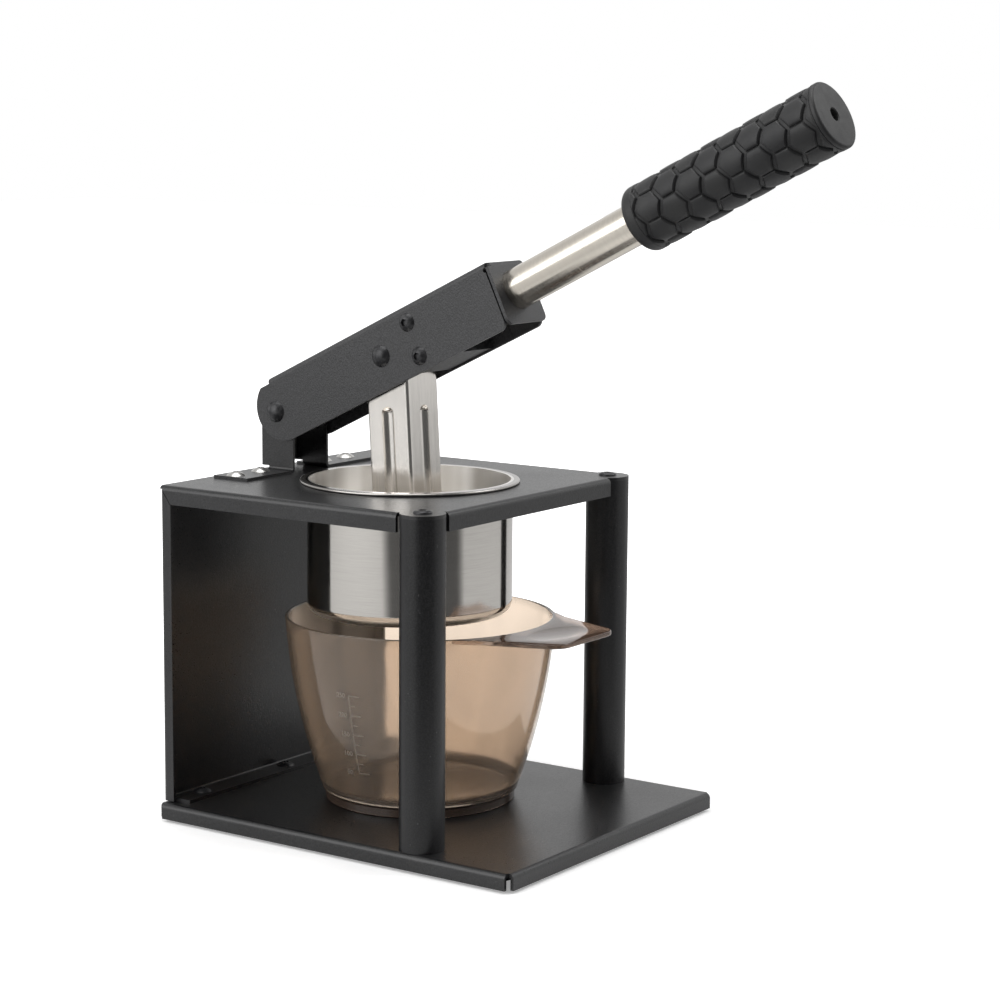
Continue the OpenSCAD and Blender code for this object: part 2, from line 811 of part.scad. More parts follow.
// Folded channel, open below, with its front end closed by a turned-down tab
module lever_arm() {
  tab_w = 2 * lever_half;
  tab_round = 4;
  tab_low = tab_rise - lever_down;
  tab_high = lever_up - lever_fold;
  color("#1f1f21") on_lever() difference() {
    union() {
      difference() {
        intersection() {
          translate([0, -lever_len, -lever_down]) along_y(lever_len + lever_rear) {
            channel2d(tab_w, lever_down + lever_up, lever_t, lever_fold - lever_t);
          }
          across_x(2 * tab_w) lever_side2d();
        }
        translate([-tab_w, -web_start, tab_high]) cube([2 * tab_w, lever_len, lever_up + lever_down]);
      }
      translate([0, -lever_len + lever_fold + eps, tab_low]) {
        across_x(tab_w - 2 * lever_fold) mirror([1, 0]) {
          angle2d(lever_fold + eps, lever_up - tab_low, lever_t, lever_fold - lever_t);
        }
      }
      translate([0, -end_tab_s, 0]) rotate([90, 0, 0]) linear_extrude(lever_t) {
        translate([-tab_w / 2, tab_low + tab_round]) square([tab_w, tab_high - tab_low - tab_round]);
        translate([tab_round - tab_w / 2, tab_low]) square([tab_w - 2 * tab_round, -tab_low]);
        for (side = [-1, 1]) translate([side * (tab_w / 2 - tab_round), tab_low + tab_round]) {
          circle(r = tab_round);
        }
      }
    }
    for (s = [0, arm_pivot]) translate([0, -s, 0]) rotate([0, 90, 0]) {
      cylinder(d = pin_d + 2 * snug_gap, h = 2 * tab_w, center = true);
    }
    at_clamp_screws() translate([0, 0, -lever_t - eps]) cylinder(d = screw_d, h = lever_t + 2 * eps);
    at_tube() translate([0, lever_t - end_tab_s, 0]) rotate([90, 0, 0]) {
      cylinder(d = tube_d + 2 * snug_gap, h = 3 * lever_t);
    }
  }
}

// Two screw places on each side of the lever arm, z pointing outward
module at_clamp_screws() {
  for (side = [0, 1]) mirror([side, 0, 0]) {
    for (up = [-clamp_span / 2, clamp_span / 2]) {
      translate([lever_half, -clamp_s, up]) rotate([0, 90, 0]) children();
    }
  }
}

module hinge_pin() {
  color("#2a2a2c") on_lever() rivet_pin();
}

module pivot_pin() {
  color("#2a2a2c") on_lever() translate([0, -arm_pivot, 0]) rivet_pin();
}

// Solid block in the channel that the clamp screws hold and the tube enters
module handle_block() {
  side_gap = 0.05;
  low = block_rise - lever_down;
  high = lever_up - lever_t - side_gap;
  w = lever_in_w - 2 * side_gap;
  chamfer = lever_fold - lever_t + head_clear;
  color("#2a2a2c") on_lever() difference() {
    translate([0, -block_front, 0]) along_y(block_len) polygon([
      [-w / 2, low],
      [w / 2, low],
      [w / 2, high - chamfer],
      [w / 2 - chamfer, high],
      [chamfer - w / 2, high],
      [-w / 2, high - chamfer]
    ]);
    at_tube() translate([0, -tube_start, 0]) rotate([90, 0, 0]) {
      cylinder(d = tube_d + 2 * snug_gap, h = tube_seat + 2 * eps);
    }
    at_clamp_screws() translate([0, 0, -lever_t - clamp_reach]) {
      cylinder(d = screw_d, h = clamp_reach + eps);
    }
  }
}

module clamp_screws() {
  color("#2a2a2c") on_lever() at_clamp_screws() button_screw(lever_t + clamp_reach - tip_clear);
}

module handle_tube() {
  color("#cfccc6") on_lever() at_tube() translate([0, -tube_start, 0]) rotate([90, 0, 0]) {
    difference() {
      cylinder(d = tube_d, h = tube_stop - tube_start);
      translate([0, 0, -eps]) cylinder(d = tube_d - 2 * tube_wall, h = tube_stop - tube_start + 2 * eps);
    }
  }
}

// Pads start inside the sleeve and end just under the collars' height
pad_root = 2.1;
pad_drop = 0.2;

// One raised pad: a hexagonal prism that stands out along +y
module grip_pad() {
  flat = pad_pitch - pad_gap;
  foot_r = grip_r - pad_depth - pad_root;
  translate([0, foot_r, 0]) rotate([-90, 0, 0]) rotate([0, 0, 30]) {
    cylinder(d = flat / cos(30), h = grip_r, $fn = 6);
  }
}

// Rubber sleeve with hexagonal pads between two plain collars
module handle_grip() {
  core_r = grip_r - pad_depth;
  first = (grip_len - (pad_rows - 1) * pad_row) / 2;
  pad_start = grip_collar + pad_land;
  pad_phase = 0.2;
  color("#191919") on_lever() at_tube() translate([0, -grip_start, 0]) rotate([90, 0, 0]) {
    difference() {
      union() {
        cylinder(r = core_r, h = grip_len - grip_round);
        cylinder(r = grip_r, h = grip_collar);
        translate([0, 0, grip_len - grip_collar]) rotate_extrude() {
          square([grip_r, grip_collar - grip_round]);
          square([grip_r - grip_round, grip_collar]);
          translate([grip_r - grip_round, grip_collar - grip_round]) circle(r = grip_round);
        }
        intersection() {
          translate([0, 0, pad_start]) cylinder(r = grip_r - pad_drop, h = grip_len - 2 * pad_start);
          for (row = [-1 : pad_rows]) {
            for (i = [0 : pad_count - 1]) {
              translate([0, 0, first + row * pad_row]) {
                rotate([0, 0, (i + pad_phase + abs(row) % 2 / 2) * 360 / pad_count]) grip_pad();
              }
            }
          }
        }
      }
      translate([0, 0, -eps]) cylinder(d = tube_d + 2 * snug_gap, h = grip_len - grip_end + eps);
      cylinder(d = vent_d, h = grip_len + eps);
    }
  }
}

// Grooves of radius r down the four faces, with round upper ends
module stem_grooves(r) {
  out = stem_w / 2 + groove_w / 2 - groove_depth;
  for (turn = [0 : 90 : 270]) rotate([0, 0, turn]) {
    translate([0, -out, -press_len]) cylinder(r = r, h = press_len - groove_top, $fn = 48);
    translate([0, -out, -groove_top]) sphere(r = r, $fn = 48);
  }
}

// Square tube with rounded ears at the pivot and a groove down each face
module press_stem() {
  low = disc_t - press_len;
  color("#c8c4bd") on_stem() difference() {
    union() {
      translate([0, 0, low]) linear_extrude(-low + stem_w) difference() {
        soft_square2d(stem_w, stem_r);
        soft_square2d(stem_w - 2 * stem_wall, stem_r - stem_wall);
      }
      intersection() {
        stem_grooves(groove_w / 2 + stem_wall);
        translate([0, 0, low]) linear_extrude(-low) soft_square2d(stem_w, stem_r);
      }
    }
    stem_grooves(groove_w / 2);
    rotate([0, 90, 0]) cylinder(d = pin_d + 2 * run_gap, h = 2 * stem_w, center = true);
    difference() {
      translate([-stem_w, -stem_w, 0]) cube([2 * stem_w, 2 * stem_w, 2 * stem_w]);
      rotate([0, 90, 0]) cylinder(d = stem_w, h = 2 * stem_w, center = true);
    }
  }
}

module pivot_sleeve() {
  color("#8c8c8c") on_stem() pin_sleeve(stem_w, stem_wall);
}

// Two washers on the pivot pin, between the stem and the lever arm's walls
module pivot_washers() {
  washer_d = 16;
  washer_t = (lever_in_w - stem_w) / 2 - run_gap;
  color("#8c8c8c") on_lever() translate([0, -arm_pivot, 0]) for (side = [0, 1]) mirror([side, 0, 0]) {
    translate([lever_in_w / 2 - washer_t, 0, 0]) rotate([0, 90, 0]) difference() {
      cylinder(d = washer_d, h = washer_t);
      translate([0, 0, -eps]) cylinder(d = pin_d + 2 * snug_gap, h = washer_t + 2 * eps);
    }
  }
}

// Block in the stem's lower end that the disc screws enter
module stem_plug() {
  low = disc_t - press_len;
  color("#8c8c8c") on_stem() difference() {
    translate([0, 0, low]) linear_extrude(stem_plug_h) {
      soft_square2d(stem_w - 2 * stem_wall - 2 * snug_gap, stem_r - stem_wall);
    }
    stem_grooves(groove_w / 2 + stem_wall + snug_gap);
    at_disc_screws() translate([0, 0, -eps]) cylinder(d = small_d, h = disc_screw_reach + eps);
  }
}

module at_disc_screws() {
  for (side = [-1, 1]) translate([side * disc_screw_span / 2, 0, -press_len]) children();
}

// Round plate with a turned-up edge
module press_disc() {
  r = disc_d / 2;
  disc_fold = 0.8;
  edge_r = disc_t + disc_fold;
  color("#cdcac5") on_stem() translate([0, 0, -press_len]) difference() {
    rotate_extrude($fn = 96) {
      square([r - edge_r, disc_t]);
      translate([r - edge_r, edge_r]) mirror([0, 1]) bend2d(disc_t, disc_fold);
      translate([r - disc_t, edge_r]) square([disc_t, disc_edge - edge_r]);
    }
    translate([0, 0, press_len]) at_disc_screws() translate([0, 0, -eps]) {
      cylinder(d = small_d, h = disc_t + 2 * eps);
    }
  }
}

// Low domed screws that hold the disc to the stem plug
module disc_screws() {
  head_d = 8;
  head_h = 1.2;
  color("#c9c9c7") on_stem() at_disc_screws() {
    rotate([180, 0, 0]) dome(head_d, head_h);
    cylinder(d = small_d - 2 * snug_gap, h = disc_screw_reach);
  }
}

base_plate();
back_panel();
top_plate();
post_left();
post_right();
post_plugs();
post_top_screws();
post_bottom_screws();
panel_screws();
panel_nuts();
rubber_feet();
hinge_bracket();
bracket_screws();
bracket_nuts();
hinge_sleeve();
juice_cup();
strainer_base();
juice_bowl();
lever_arm();
hinge_pin();
pivot_pin();
handle_block();
clamp_screws();
handle_tube();
handle_grip();
press_stem();
pivot_sleeve();
pivot_washers();
stem_plug();
press_disc();
disc_screws();
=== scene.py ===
"""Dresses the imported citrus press.

The grip, the bowl with its scale and the post top screws are modelled here. Every other node
keeps its CAD shape and gets a finish.
"""

import bpy
import json
import logging
import math
from dataclasses import dataclass, field
from enum import Enum
from typing import Callable, Dict, List, Optional, Sequence, Tuple, Union
from mathutils import Matrix, Vector


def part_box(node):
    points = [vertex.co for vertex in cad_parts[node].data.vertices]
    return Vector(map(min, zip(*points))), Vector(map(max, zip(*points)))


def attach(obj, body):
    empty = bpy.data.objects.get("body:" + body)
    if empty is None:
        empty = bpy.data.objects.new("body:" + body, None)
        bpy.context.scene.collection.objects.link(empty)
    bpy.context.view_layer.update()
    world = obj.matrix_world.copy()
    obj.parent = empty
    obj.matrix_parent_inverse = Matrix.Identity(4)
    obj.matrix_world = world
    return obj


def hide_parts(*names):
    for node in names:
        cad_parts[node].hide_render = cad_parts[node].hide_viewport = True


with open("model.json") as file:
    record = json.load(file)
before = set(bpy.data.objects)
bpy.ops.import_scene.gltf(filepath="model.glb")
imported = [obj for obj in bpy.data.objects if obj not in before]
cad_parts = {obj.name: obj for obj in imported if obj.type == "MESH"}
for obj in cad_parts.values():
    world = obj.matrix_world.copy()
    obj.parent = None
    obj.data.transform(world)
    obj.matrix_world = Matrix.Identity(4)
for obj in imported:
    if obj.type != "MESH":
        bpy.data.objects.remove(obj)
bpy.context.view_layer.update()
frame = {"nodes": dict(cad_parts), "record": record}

log = logging.getLogger("citrus_press")
logging.basicConfig(level=logging.INFO, format="%(message)s")

Colour = Tuple[float, float, float]
Point2 = Tuple[float, float]
Point3 = Tuple[float, float, float]
MM = 0.001
MERGE = 0.004 * MM


def darker(colour: Colour, share: float) -> Colour:
    """Gives a colour with each channel taken down to a share of its value."""
    return (colour[0] * share, colour[1] * share, colour[2] * share)


class Term:
    """A shader value that is added, taken away and multiplied like a number."""

    def __init__(self, tree: "Tree", socket: Optional[bpy.types.NodeSocket]) -> None:
        """Keeps the socket that carries the value, or None for a node without an output."""
        self.tree = tree
        self.socket = socket

    def __add__(self, other: "Operand") -> "Term":
        """Adds a value."""
        return self.tree.maths("ADD", self, other)

    def __radd__(self, other: float) -> "Term":
        """Adds this value to a number."""
        return self.tree.maths("ADD", other, self)

    def __sub__(self, other: "Operand") -> "Term":
        """Takes a value away."""
        return self.tree.maths("SUBTRACT", self, other)

    def __rsub__(self, other: float) -> "Term":
        """Takes this value from a number."""
        return self.tree.maths("SUBTRACT", other, self)

    def __mul__(self, other: "Operand") -> "Term":
        """Multiplies by a value."""
        return self.tree.maths("MULTIPLY", self, other)

    def __rmul__(self, other: float) -> "Term":
        """Multiplies a number by this value."""
        return self.tree.maths("MULTIPLY", other, self)

    def between(self, low: float, high: float) -> "Term":
        """Maps low..high smoothly to 0..1 and holds it there."""
        return self.tree.add(
            "ShaderNodeMapRange",
            {"interpolation_type": "SMOOTHSTEP"},
            {"Value": self, "From Min": low, "From Max": high},
        )


Operand = Union[float, Term]
SocketKey = Union[int, str]


class Tree:
    """Builds one node tree from Python expressions."""

    def __init__(self, owner: Union[bpy.types.Material, bpy.types.World]) -> None:
        """Empties the owner's node tree.

        Args:
            owner: The material or world that gets the nodes.
        """
        owner.use_nodes = True
        self.nodes = owner.node_tree.nodes
        self.links = owner.node_tree.links
        self.nodes.clear()

    def add(
        self,
        kind: str,
        settings: Optional[Dict[str, object]] = None,
        inputs: Optional[Dict[SocketKey, object]] = None,
        output: SocketKey = 0,
    ) -> Term:
        """Adds one node.

        Args:
            kind: Blender's name of the node type.
            settings: Attributes that are set before the sockets are used.
            inputs: Value or term of each named or numbered input.
            output: Name or number of the output that is returned.

        Returns:
            The chosen output as a term.
        """
        node = self.nodes.new(kind)
        for key, value in (settings or {}).items():
            setattr(node, key, value)
        for key, value in (inputs or {}).items():
            if isinstance(value, Term):
                self.links.new(value.socket, node.inputs[key])
            else:
                node.inputs[key].default_value = value
        return Term(self, node.outputs[output] if len(node.outputs) else None)

    def maths(self, operation: str, first: Operand, second: Operand) -> Term:
        """Adds a Math node with Blender's name of its operation."""
        return self.add("ShaderNodeMath", {"operation": operation}, {0: first, 1: second})

    def mix(self, factor: Operand, first: object, second: object) -> Term:
        """Mixes two colours or terms, from the first at factor 0 to the second at 1."""
        full = [value if isinstance(value, Term) else (*value, 1.0) for value in (first, second)]
        return self.add(
            "ShaderNodeMix",
            {"data_type": "RGBA"},
            {0: factor, 6: full[0], 7: full[1]},
            2,
        )

    def place(self, cell: Sequence[float], turn: float = 0.0) -> Term:
        """Gives the object's own coordinates, turned about X and counted in cells.

        Args:
            cell: Size of a pattern cell along each turned axis, in metres.
            turn: Turn of the pattern about X, in degrees.

        Returns:
            The coordinates.
        """
        own = self.add("ShaderNodeTexCoord", output="Object")
        return self.add(
            "ShaderNodeMapping",
            {"vector_type": "TEXTURE"},
            {"Vector": own, "Rotation": (math.radians(turn), 0.0, 0.0), "Scale": tuple(cell)},
        )

    def out_from(self, axis: Sequence[float]) -> Term:
        """Gives the distance in metres from an upright axis through a point."""
        own = self.add("ShaderNodeTexCoord", output="Object")
        away = self.add(
            "ShaderNodeVectorMath", {"operation": "SUBTRACT"}, {0: own, 1: tuple(axis)}
        )
        level = (1.0, 1.0, 0.0)
        flat = self.add("ShaderNodeVectorMath", {"operation": "MULTIPLY"}, {0: away, 1: level})
        return self.length(flat)

    def length(self, vector: Term) -> Term:
        """Gives the length of a vector."""
        return self.add("ShaderNodeVectorMath", {"operation": "LENGTH"}, {0: vector}, "Value")

    def ray(self, kind: str) -> Term:
        """Gives 1 for rays of one kind, such as Glossy, and 0 for the others."""
        return self.add("ShaderNodeLightPath", output=f"Is {kind} Ray")

    def noise(self, at: Term, detail: float = 2.0, rough: float = 0.5) -> Term:
        """Adds a noise about 0.5, with cells of size one and finer layers."""
        return self.add(
            "ShaderNodeTexNoise",
            inputs={"Vector": at, "Scale": 1.0, "Detail": detail, "Roughness": rough},
        )

    def bump(self, height: Term, depth: float) -> Term:
        """Turns a relief from 0 to 1, with its depth in metres, into a normal."""
        return self.add(
            "ShaderNodeBump", inputs={"Height": height, "Distance": depth, "Strength": 1.0}
        )

    def surface(self, **inputs: object) -> None:
        """Ends the tree in a Principled shader.

        Args:
            **inputs: Values or terms, with underscores for the spaces in the sockets' names.
        """
        named = {key.replace("_", " "): value for key, value in inputs.items()}
        shader = self.add("ShaderNodeBsdfPrincipled", inputs=named)
        self.add("ShaderNodeOutputMaterial", inputs={"Surface": shader})


@dataclass(frozen=True)
class Finish:
    """A surface finish, of which each kind fills in its own node tree."""

    name: str

    def build(self) -> bpy.types.Material:
        """Makes the material."""
        material = bpy.data.materials.new(self.name)
        self.fill(Tree(material))
        return material

    def fill(self, tree: Tree) -> None:
        """Adds the nodes to the material's empty tree."""
        raise NotImplementedError


@dataclass(frozen=True)
class PowderCoat(Finish):
    """Baked powder paint with a fine sandy texture."""

    colour: Colour = (0.011, 0.011, 0.012)
    worn: Colour = (0.016, 0.016, 0.017)
    roughness: float = 0.33
    gloss: float = 0.55
    grain: float = 0.9 * MM
    relief: float = 0.11 * MM
    patch: float = 60 * MM
    speck: float = 1.3 * MM
    speck_colour: Colour = (0.12, 0.12, 0.12)

    def fill(self, tree: Tree) -> None:
        """Adds the nodes."""
        sand = tree.noise(tree.place([self.grain] * 3), 1.0)
        peel = tree.noise(tree.place([self.grain * 9.0] * 3), 2.0)
        cloud = tree.noise(tree.place([self.patch] * 3), 3.0)
        specks = tree.noise(tree.place([self.speck] * 3), 0.0).between(0.82, 0.87)
        paint = tree.mix(cloud.between(0.35, 0.7), self.colour, self.worn)
        paint = tree.mix(sand.between(0.40, 0.62), darker(self.colour, 0.55), paint)
        paint = tree.mix(specks * 0.25, paint, self.speck_colour)
        tree.surface(
            Base_Color=paint,
            Roughness=self.roughness + (sand - 0.5) * 0.22 + (cloud - 0.5) * 0.10,
            Specular_IOR_Level=self.gloss,
            Normal=tree.bump(sand * 0.7 + peel * 0.3, self.relief),
        )


@dataclass(frozen=True)
class BlackOxide(Finish):
    """Blackened screw steel with an oily sheen."""

    colour: Colour = (0.018, 0.018, 0.020)
    rubbed: Colour = (0.045, 0.045, 0.047)
    roughness: float = 0.36
    metal: float = 0.35
    patch: float = 2.5 * MM
    grain: float = 0.25 * MM

    def fill(self, tree: Tree) -> None:
        """Adds the nodes."""
        patch = tree.noise(tree.place([self.patch] * 3), 3.0)
        fine = tree.noise(tree.place([self.grain] * 3), 2.0)
        tree.surface(
            Base_Color=tree.mix(patch.between(0.4, 0.7), self.colour, self.rubbed),
            Roughness=self.roughness + (patch - 0.5) * 0.25,
            Metallic=self.metal,
            Normal=tree.bump(fine, 0.02 * MM),
        )


class Grain(Enum):
    """Way in which a steel surface was brushed: cell sizes in millimetres along its own axes."""

    ROUND_UPRIGHT = (22.0, 22.0, 0.22)
    ROUND_LEVER = (16.0, 0.20, 16.0)
    DOWN_STEM = (0.30, 0.30, 26.0)
    TUMBLED = (0.6, 0.6, 0.6)


@dataclass(frozen=True)
class Steel(Finish):
    """Stainless steel or plated steel with its brush marks.

    A cup is satin inside, within one radius of its axis, where its colour is painted reflection in
    soft bands between a dark tone and a painted highlight, and beyond another radius its rim is
    rougher and painted darker as painted shade.
    """

    grain: Grain
    colour: Colour = (0.78, 0.755, 0.72)
    roughness: float = 0.16
    streak: float = 0.10
    relief: float = 0.010 * MM
    turn: float = 0.0
    satin_within: float = 0.0
    rim_beyond: float = 0.0
    axis: Point3 = (0.0, 0.0, 0.0)
    # Painted reflection and painted highlight of the cup's inside, then the painted shade of its
    # rim.
    satin_painted_dark_band: Colour = (0.66, 0.63, 0.59)
    satin_painted_highlight: Colour = (0.94, 0.92, 0.89)
    rim_painted_shade: Colour = (0.36, 0.345, 0.33)
    band: Point3 = (19 * MM, 19 * MM, 400 * MM)
    haze: float = 18 * MM

    def fill(self, tree: Tree) -> None:
        """Adds the nodes."""
        cell = [size * MM for size in self.grain.value]
        brush = tree.noise(tree.place(cell, self.turn), 3.0, 0.65)
        wide = tree.noise(tree.place([size * 6.0 for size in cell], self.turn), 2.0)
        haze = tree.noise(tree.place([self.haze] * 3), 3.0)
        paint = tree.mix(brush.between(0.3, 0.75), self.colour, darker(self.colour, 0.86))
        rough = self.roughness + (brush + wide - 1.0) * self.streak + (haze - 0.5) * 0.10
        # Painted light: soft bands of painted reflection and painted highlight inside the cup,
        # painted shade on its rim.
        if self.satin_within:
            out = tree.out_from(self.axis)
            edge = 0.2 * MM
            inside = 1.0 - out.between(self.satin_within - edge, self.satin_within + edge)
            rim = out.between(self.rim_beyond, self.rim_beyond + 2 * edge)
            painted_bands = tree.noise(tree.place(self.band), 1.5).between(0.30, 0.60)
            satin = tree.mix(painted_bands, self.satin_painted_dark_band, self.satin_painted_highlight)
            paint = tree.mix(rim, tree.mix(inside, paint, satin), self.rim_painted_shade)
            rough = rough + inside * 0.24 + rim * 0.14
        tree.surface(
            Base_Color=paint, Metallic=1.0, Roughness=rough, Normal=tree.bump(brush, self.relief)
        )


@dataclass(frozen=True)
class Rubber(Finish):
    """Matt moulded rubber, a little dusty in random patches."""

    colour: Colour = (0.013, 0.013, 0.014)
    dusty: Colour = (0.020, 0.020, 0.020)
    roughness: float = 0.48
    gloss: float = 0.34
    skin: float = 0.35 * MM
    flow: float = 5 * MM
    dust: float = 24 * MM

    def fill(self, tree: Tree) -> None:
        """Adds the nodes."""
        skin = tree.noise(tree.place([self.skin] * 3), 3.0, 0.6)
        flow = tree.noise(tree.place([self.flow] * 3), 2.0)
        dust = tree.noise(tree.place([self.dust] * 3), 4.0)
        tree.surface(
            Base_Color=tree.mix(dust.between(0.35, 0.7), self.colour, self.dusty),
            Roughness=self.roughness + (flow - 0.5) * 0.16,
            Specular_IOR_Level=self.gloss,
            Normal=tree.bump(skin * 0.75 + flow * 0.25, 0.045 * MM),
        )


@dataclass(frozen=True)
class SmokyPlastic(Finish):
    """Tinted clear plastic that scatters a little of the light."""

    colour: Colour = (0.72, 0.60, 0.49)
    clear: float = 0.93
    roughness: float = 0.09
    ior: float = 1.45
    flow: Point3 = (26 * MM, 26 * MM, 60 * MM)
    swirl: Point3 = (9 * MM, 9 * MM, 22 * MM)

    def fill(self, tree: Tree) -> None:
        """Adds the nodes."""
        flow = tree.noise(tree.place(self.flow), 2.0)
        swirl = tree.noise(tree.place(self.swirl), 1.0)
        tree.surface(
            Base_Color=tree.mix(flow.between(0.35, 0.65), self.colour, darker(self.colour, 0.90)),
            Roughness=self.roughness + (flow - 0.5) * 0.08 + (swirl - 0.5) * 0.04,
            Transmission_Weight=self.clear,
            IOR=self.ior,
            Normal=tree.bump(swirl * 0.4 + flow * 0.6, 0.10 * MM),
        )


@dataclass(frozen=True)
class FrostedMark(Finish):
    """Raised moulded mark on the bowl, paler than its wall."""

    colour: Colour = (0.54, 0.48, 0.42)
    clear: float = 0.60
    roughness: float = 0.45
    grain: float = 0.5 * MM

    def fill(self, tree: Tree) -> None:
        """Adds the nodes."""
        frost = tree.noise(tree.place([self.grain] * 3), 2.0)
        tree.surface(
            Base_Color=tree.mix(frost, self.colour, darker(self.colour, 0.85)),
            Roughness=self.roughness + (frost - 0.5) * 0.2,
            Transmission_Weight=self.clear,
            Normal=tree.bump(frost, 0.02 * MM),
        )


class Bench:
    """The workbench: Blender's own modelling tools, one call each."""

    @staticmethod
    def clear() -> None:
        """Deselects everything."""
        if bpy.context.object and bpy.context.object.mode != "OBJECT":
            bpy.ops.object.mode_set(mode="OBJECT")
        bpy.ops.object.select_all(action="DESELECT")

    @staticmethod
    def pick(*pieces: bpy.types.Object) -> bpy.types.Object:
        """Selects pieces and makes the first one active.

        Args:
            *pieces: The objects to select.

        Returns:
            The first object.
        """
        Bench.clear()
        for piece in pieces:
            piece.select_set(True)
        bpy.context.view_layer.objects.active = pieces[0]
        return pieces[0]

    @staticmethod
    def edit(piece: bpy.types.Object, work: Callable[[], None]) -> bpy.types.Object:
        """Runs edit-mode work on the whole piece.

        Args:
            piece: The object to edit.
            work: Calls the edit operators, with all of the piece selected.

        Returns:
            The edited object.
        """
        Bench.pick(piece)
        bpy.ops.object.mode_set(mode="EDIT")
        bpy.ops.mesh.select_all(action="SELECT")
        work()
        bpy.ops.object.mode_set(mode="OBJECT")
        return piece

    @staticmethod
    def select_faces(
        piece: bpy.types.Object, test: Callable[[bpy.types.MeshPolygon], bool]
    ) -> None:
        """Selects the faces of a piece that pass a test.

        Args:
            piece: The object, in object mode.
            test: Says whether a face is selected.
        """
        mesh = piece.data
        for kind in (mesh.vertices, mesh.edges, mesh.polygons):
            kind.foreach_set("select", [False] * len(kind))
        for face in mesh.polygons:
            face.select = bool(test(face))

    @staticmethod
    def seed(name: str, place: Sequence[float]) -> bpy.types.Object:
        """Adds a small plane, which is merged to one point before it is extruded.

        Args:
            name: Name of the piece.
            place: Its middle in millimetres.

        Returns:
            The plane.
        """
        Bench.clear()
        bpy.ops.mesh.primitive_plane_add(size=0.01, location=Vector(place) * MM)
        piece = bpy.context.object
        piece.name = piece.data.name = name
        return Bench.apply_place(piece)

    @staticmethod
    def draw(path: Sequence[Point3]) -> None:
        """Draws a chain of edges out of a seed, in edit mode.

        Args:
            path: Points (x, y, z) in millimetres, the first of them where the seed is.
        """
        bpy.ops.mesh.merge(type="CENTER")
        for start, end in zip(path, path[1:]):
            step = tuple((b - a) * MM for a, b in zip(start, end))
            bpy.ops.mesh.extrude_region_move(TRANSFORM_OT_translate={"value": step})
        bpy.ops.mesh.select_all(action="SELECT")

    @staticmethod
    def close(piece: bpy.types.Object) -> bpy.types.Object:
        """Turns all faces of a closed piece outwards."""
        return Bench.edit(piece, lambda: bpy.ops.mesh.normals_make_consistent(inside=False))

    @staticmethod
    def lathe(name: str, profile: Sequence[Point2], steps: int) -> bpy.types.Object:
        """Spins a profile round the Z axis.

        Args:
            name: Name of the piece.
            profile: Points (radius, height) in millimetres, from end to end.
            steps: Number of steps of the spin.

        Returns:
            The closed turned piece.
        """
        path = [(radius, 0.0, height) for radius, height in profile]

        def work() -> None:
            """Draws the profile and spins it."""
            Bench.draw(path)
            bpy.ops.mesh.spin(steps=steps, angle=2 * math.pi, center=(0, 0, 0), axis=(0, 0, 1))
            bpy.ops.mesh.select_all(action="SELECT")
            bpy.ops.mesh.remove_doubles(threshold=MERGE)

        return Bench.close(Bench.edit(Bench.seed(name, path[0]), work))

    @staticmethod
    def slab(name: str, outline: Sequence[Point2], low: float, high: float) -> bpy.types.Object:
        """Extrudes a flat outline upwards.

        Args:
            name: Name of the piece.
            outline: Points (x, y) in millimetres, once round.
            low: Height of the lower face in millimetres.
            high: Height of the upper face in millimetres.

        Returns:
            The closed slab.
        """
        path = [(x, y, low) for x, y in (*outline, outline[0])]

        def work() -> None:
            """Draws the outline, fills it and lifts it to a slab."""
            Bench.draw(path)
            bpy.ops.mesh.remove_doubles(threshold=MERGE)
            bpy.ops.mesh.edge_face_add()
            lift = (0.0, 0.0, (high - low) * MM)
            bpy.ops.mesh.extrude_region_move(TRANSFORM_OT_translate={"value": lift})

        return Bench.close(Bench.edit(Bench.seed(name, path[0]), work))

    @staticmethod
    def modify(piece: bpy.types.Object, kind: str, **settings: object) -> bpy.types.Object:
        """Adds a modifier and applies it.

        Args:
            piece: The object to change.
            kind: Blender's name of the modifier type.
            **settings: The modifier's settings.

        Returns:
            The changed object.
        """
        Bench.pick(piece)
        modifier = piece.modifiers.new(kind.lower(), kind)
        for key, value in settings.items():
            setattr(modifier, key, value)
        bpy.ops.object.modifier_apply(modifier=modifier.name)
        return piece

    @staticmethod
    def combine(piece: bpy.types.Object, tool: bpy.types.Object, how: str) -> bpy.types.Object:
        """Adds a tool to a piece or cuts it out, and takes the tool away.

        Args:
            piece: The object to change.
            tool: The other object.
            how: UNION or DIFFERENCE.

        Returns:
            The changed object.
        """
        Bench.modify(piece, "BOOLEAN", operation=how, object=tool, solver="EXACT")
        bpy.data.objects.remove(tool)
        return piece

    @staticmethod
    def copy(piece: bpy.types.Object, matrix: Matrix) -> bpy.types.Object:
        """Copies a piece, with a mesh of its own, to another place.

        Args:
            piece: The object to copy.
            matrix: The copy's place and turn.

        Returns:
            The copy.
        """
        other = piece.copy()
        other.data = piece.data.copy()
        other.data.transform(matrix)
        bpy.context.scene.collection.objects.link(other)
        return other

    @staticmethod
    def join(name: str, pieces: List[bpy.types.Object]) -> bpy.types.Object:
        """Joins pieces into the first one.

        Args:
            name: Name of the joined piece.
            pieces: The objects to join.

        Returns:
            The joined object.
        """
        piece = Bench.pick(*pieces)
        if len(pieces) > 1:
            bpy.ops.object.join()
        piece.name = piece.data.name = name
        return piece

    @staticmethod
    def apply_place(piece: bpy.types.Object) -> bpy.types.Object:
        """Moves a piece's place and turn into its mesh.

        Args:
            piece: The object to change.

        Returns:
            The object, at the origin.
        """
        Bench.pick(piece)
        bpy.ops.object.transform_apply(location=True, rotation=True, scale=True)
        return piece

    @staticmethod
    def smooth(piece: bpy.types.Object, degrees: float) -> bpy.types.Object:
        """Shades a piece smooth except over its sharp edges.

        Args:
            piece: The object to shade.
            degrees: Angle from which an edge is sharp.

        Returns:
            The shaded object.
        """
        Bench.pick(piece)
        bpy.ops.object.shade_smooth_by_angle(angle=math.radians(degrees))
        return piece


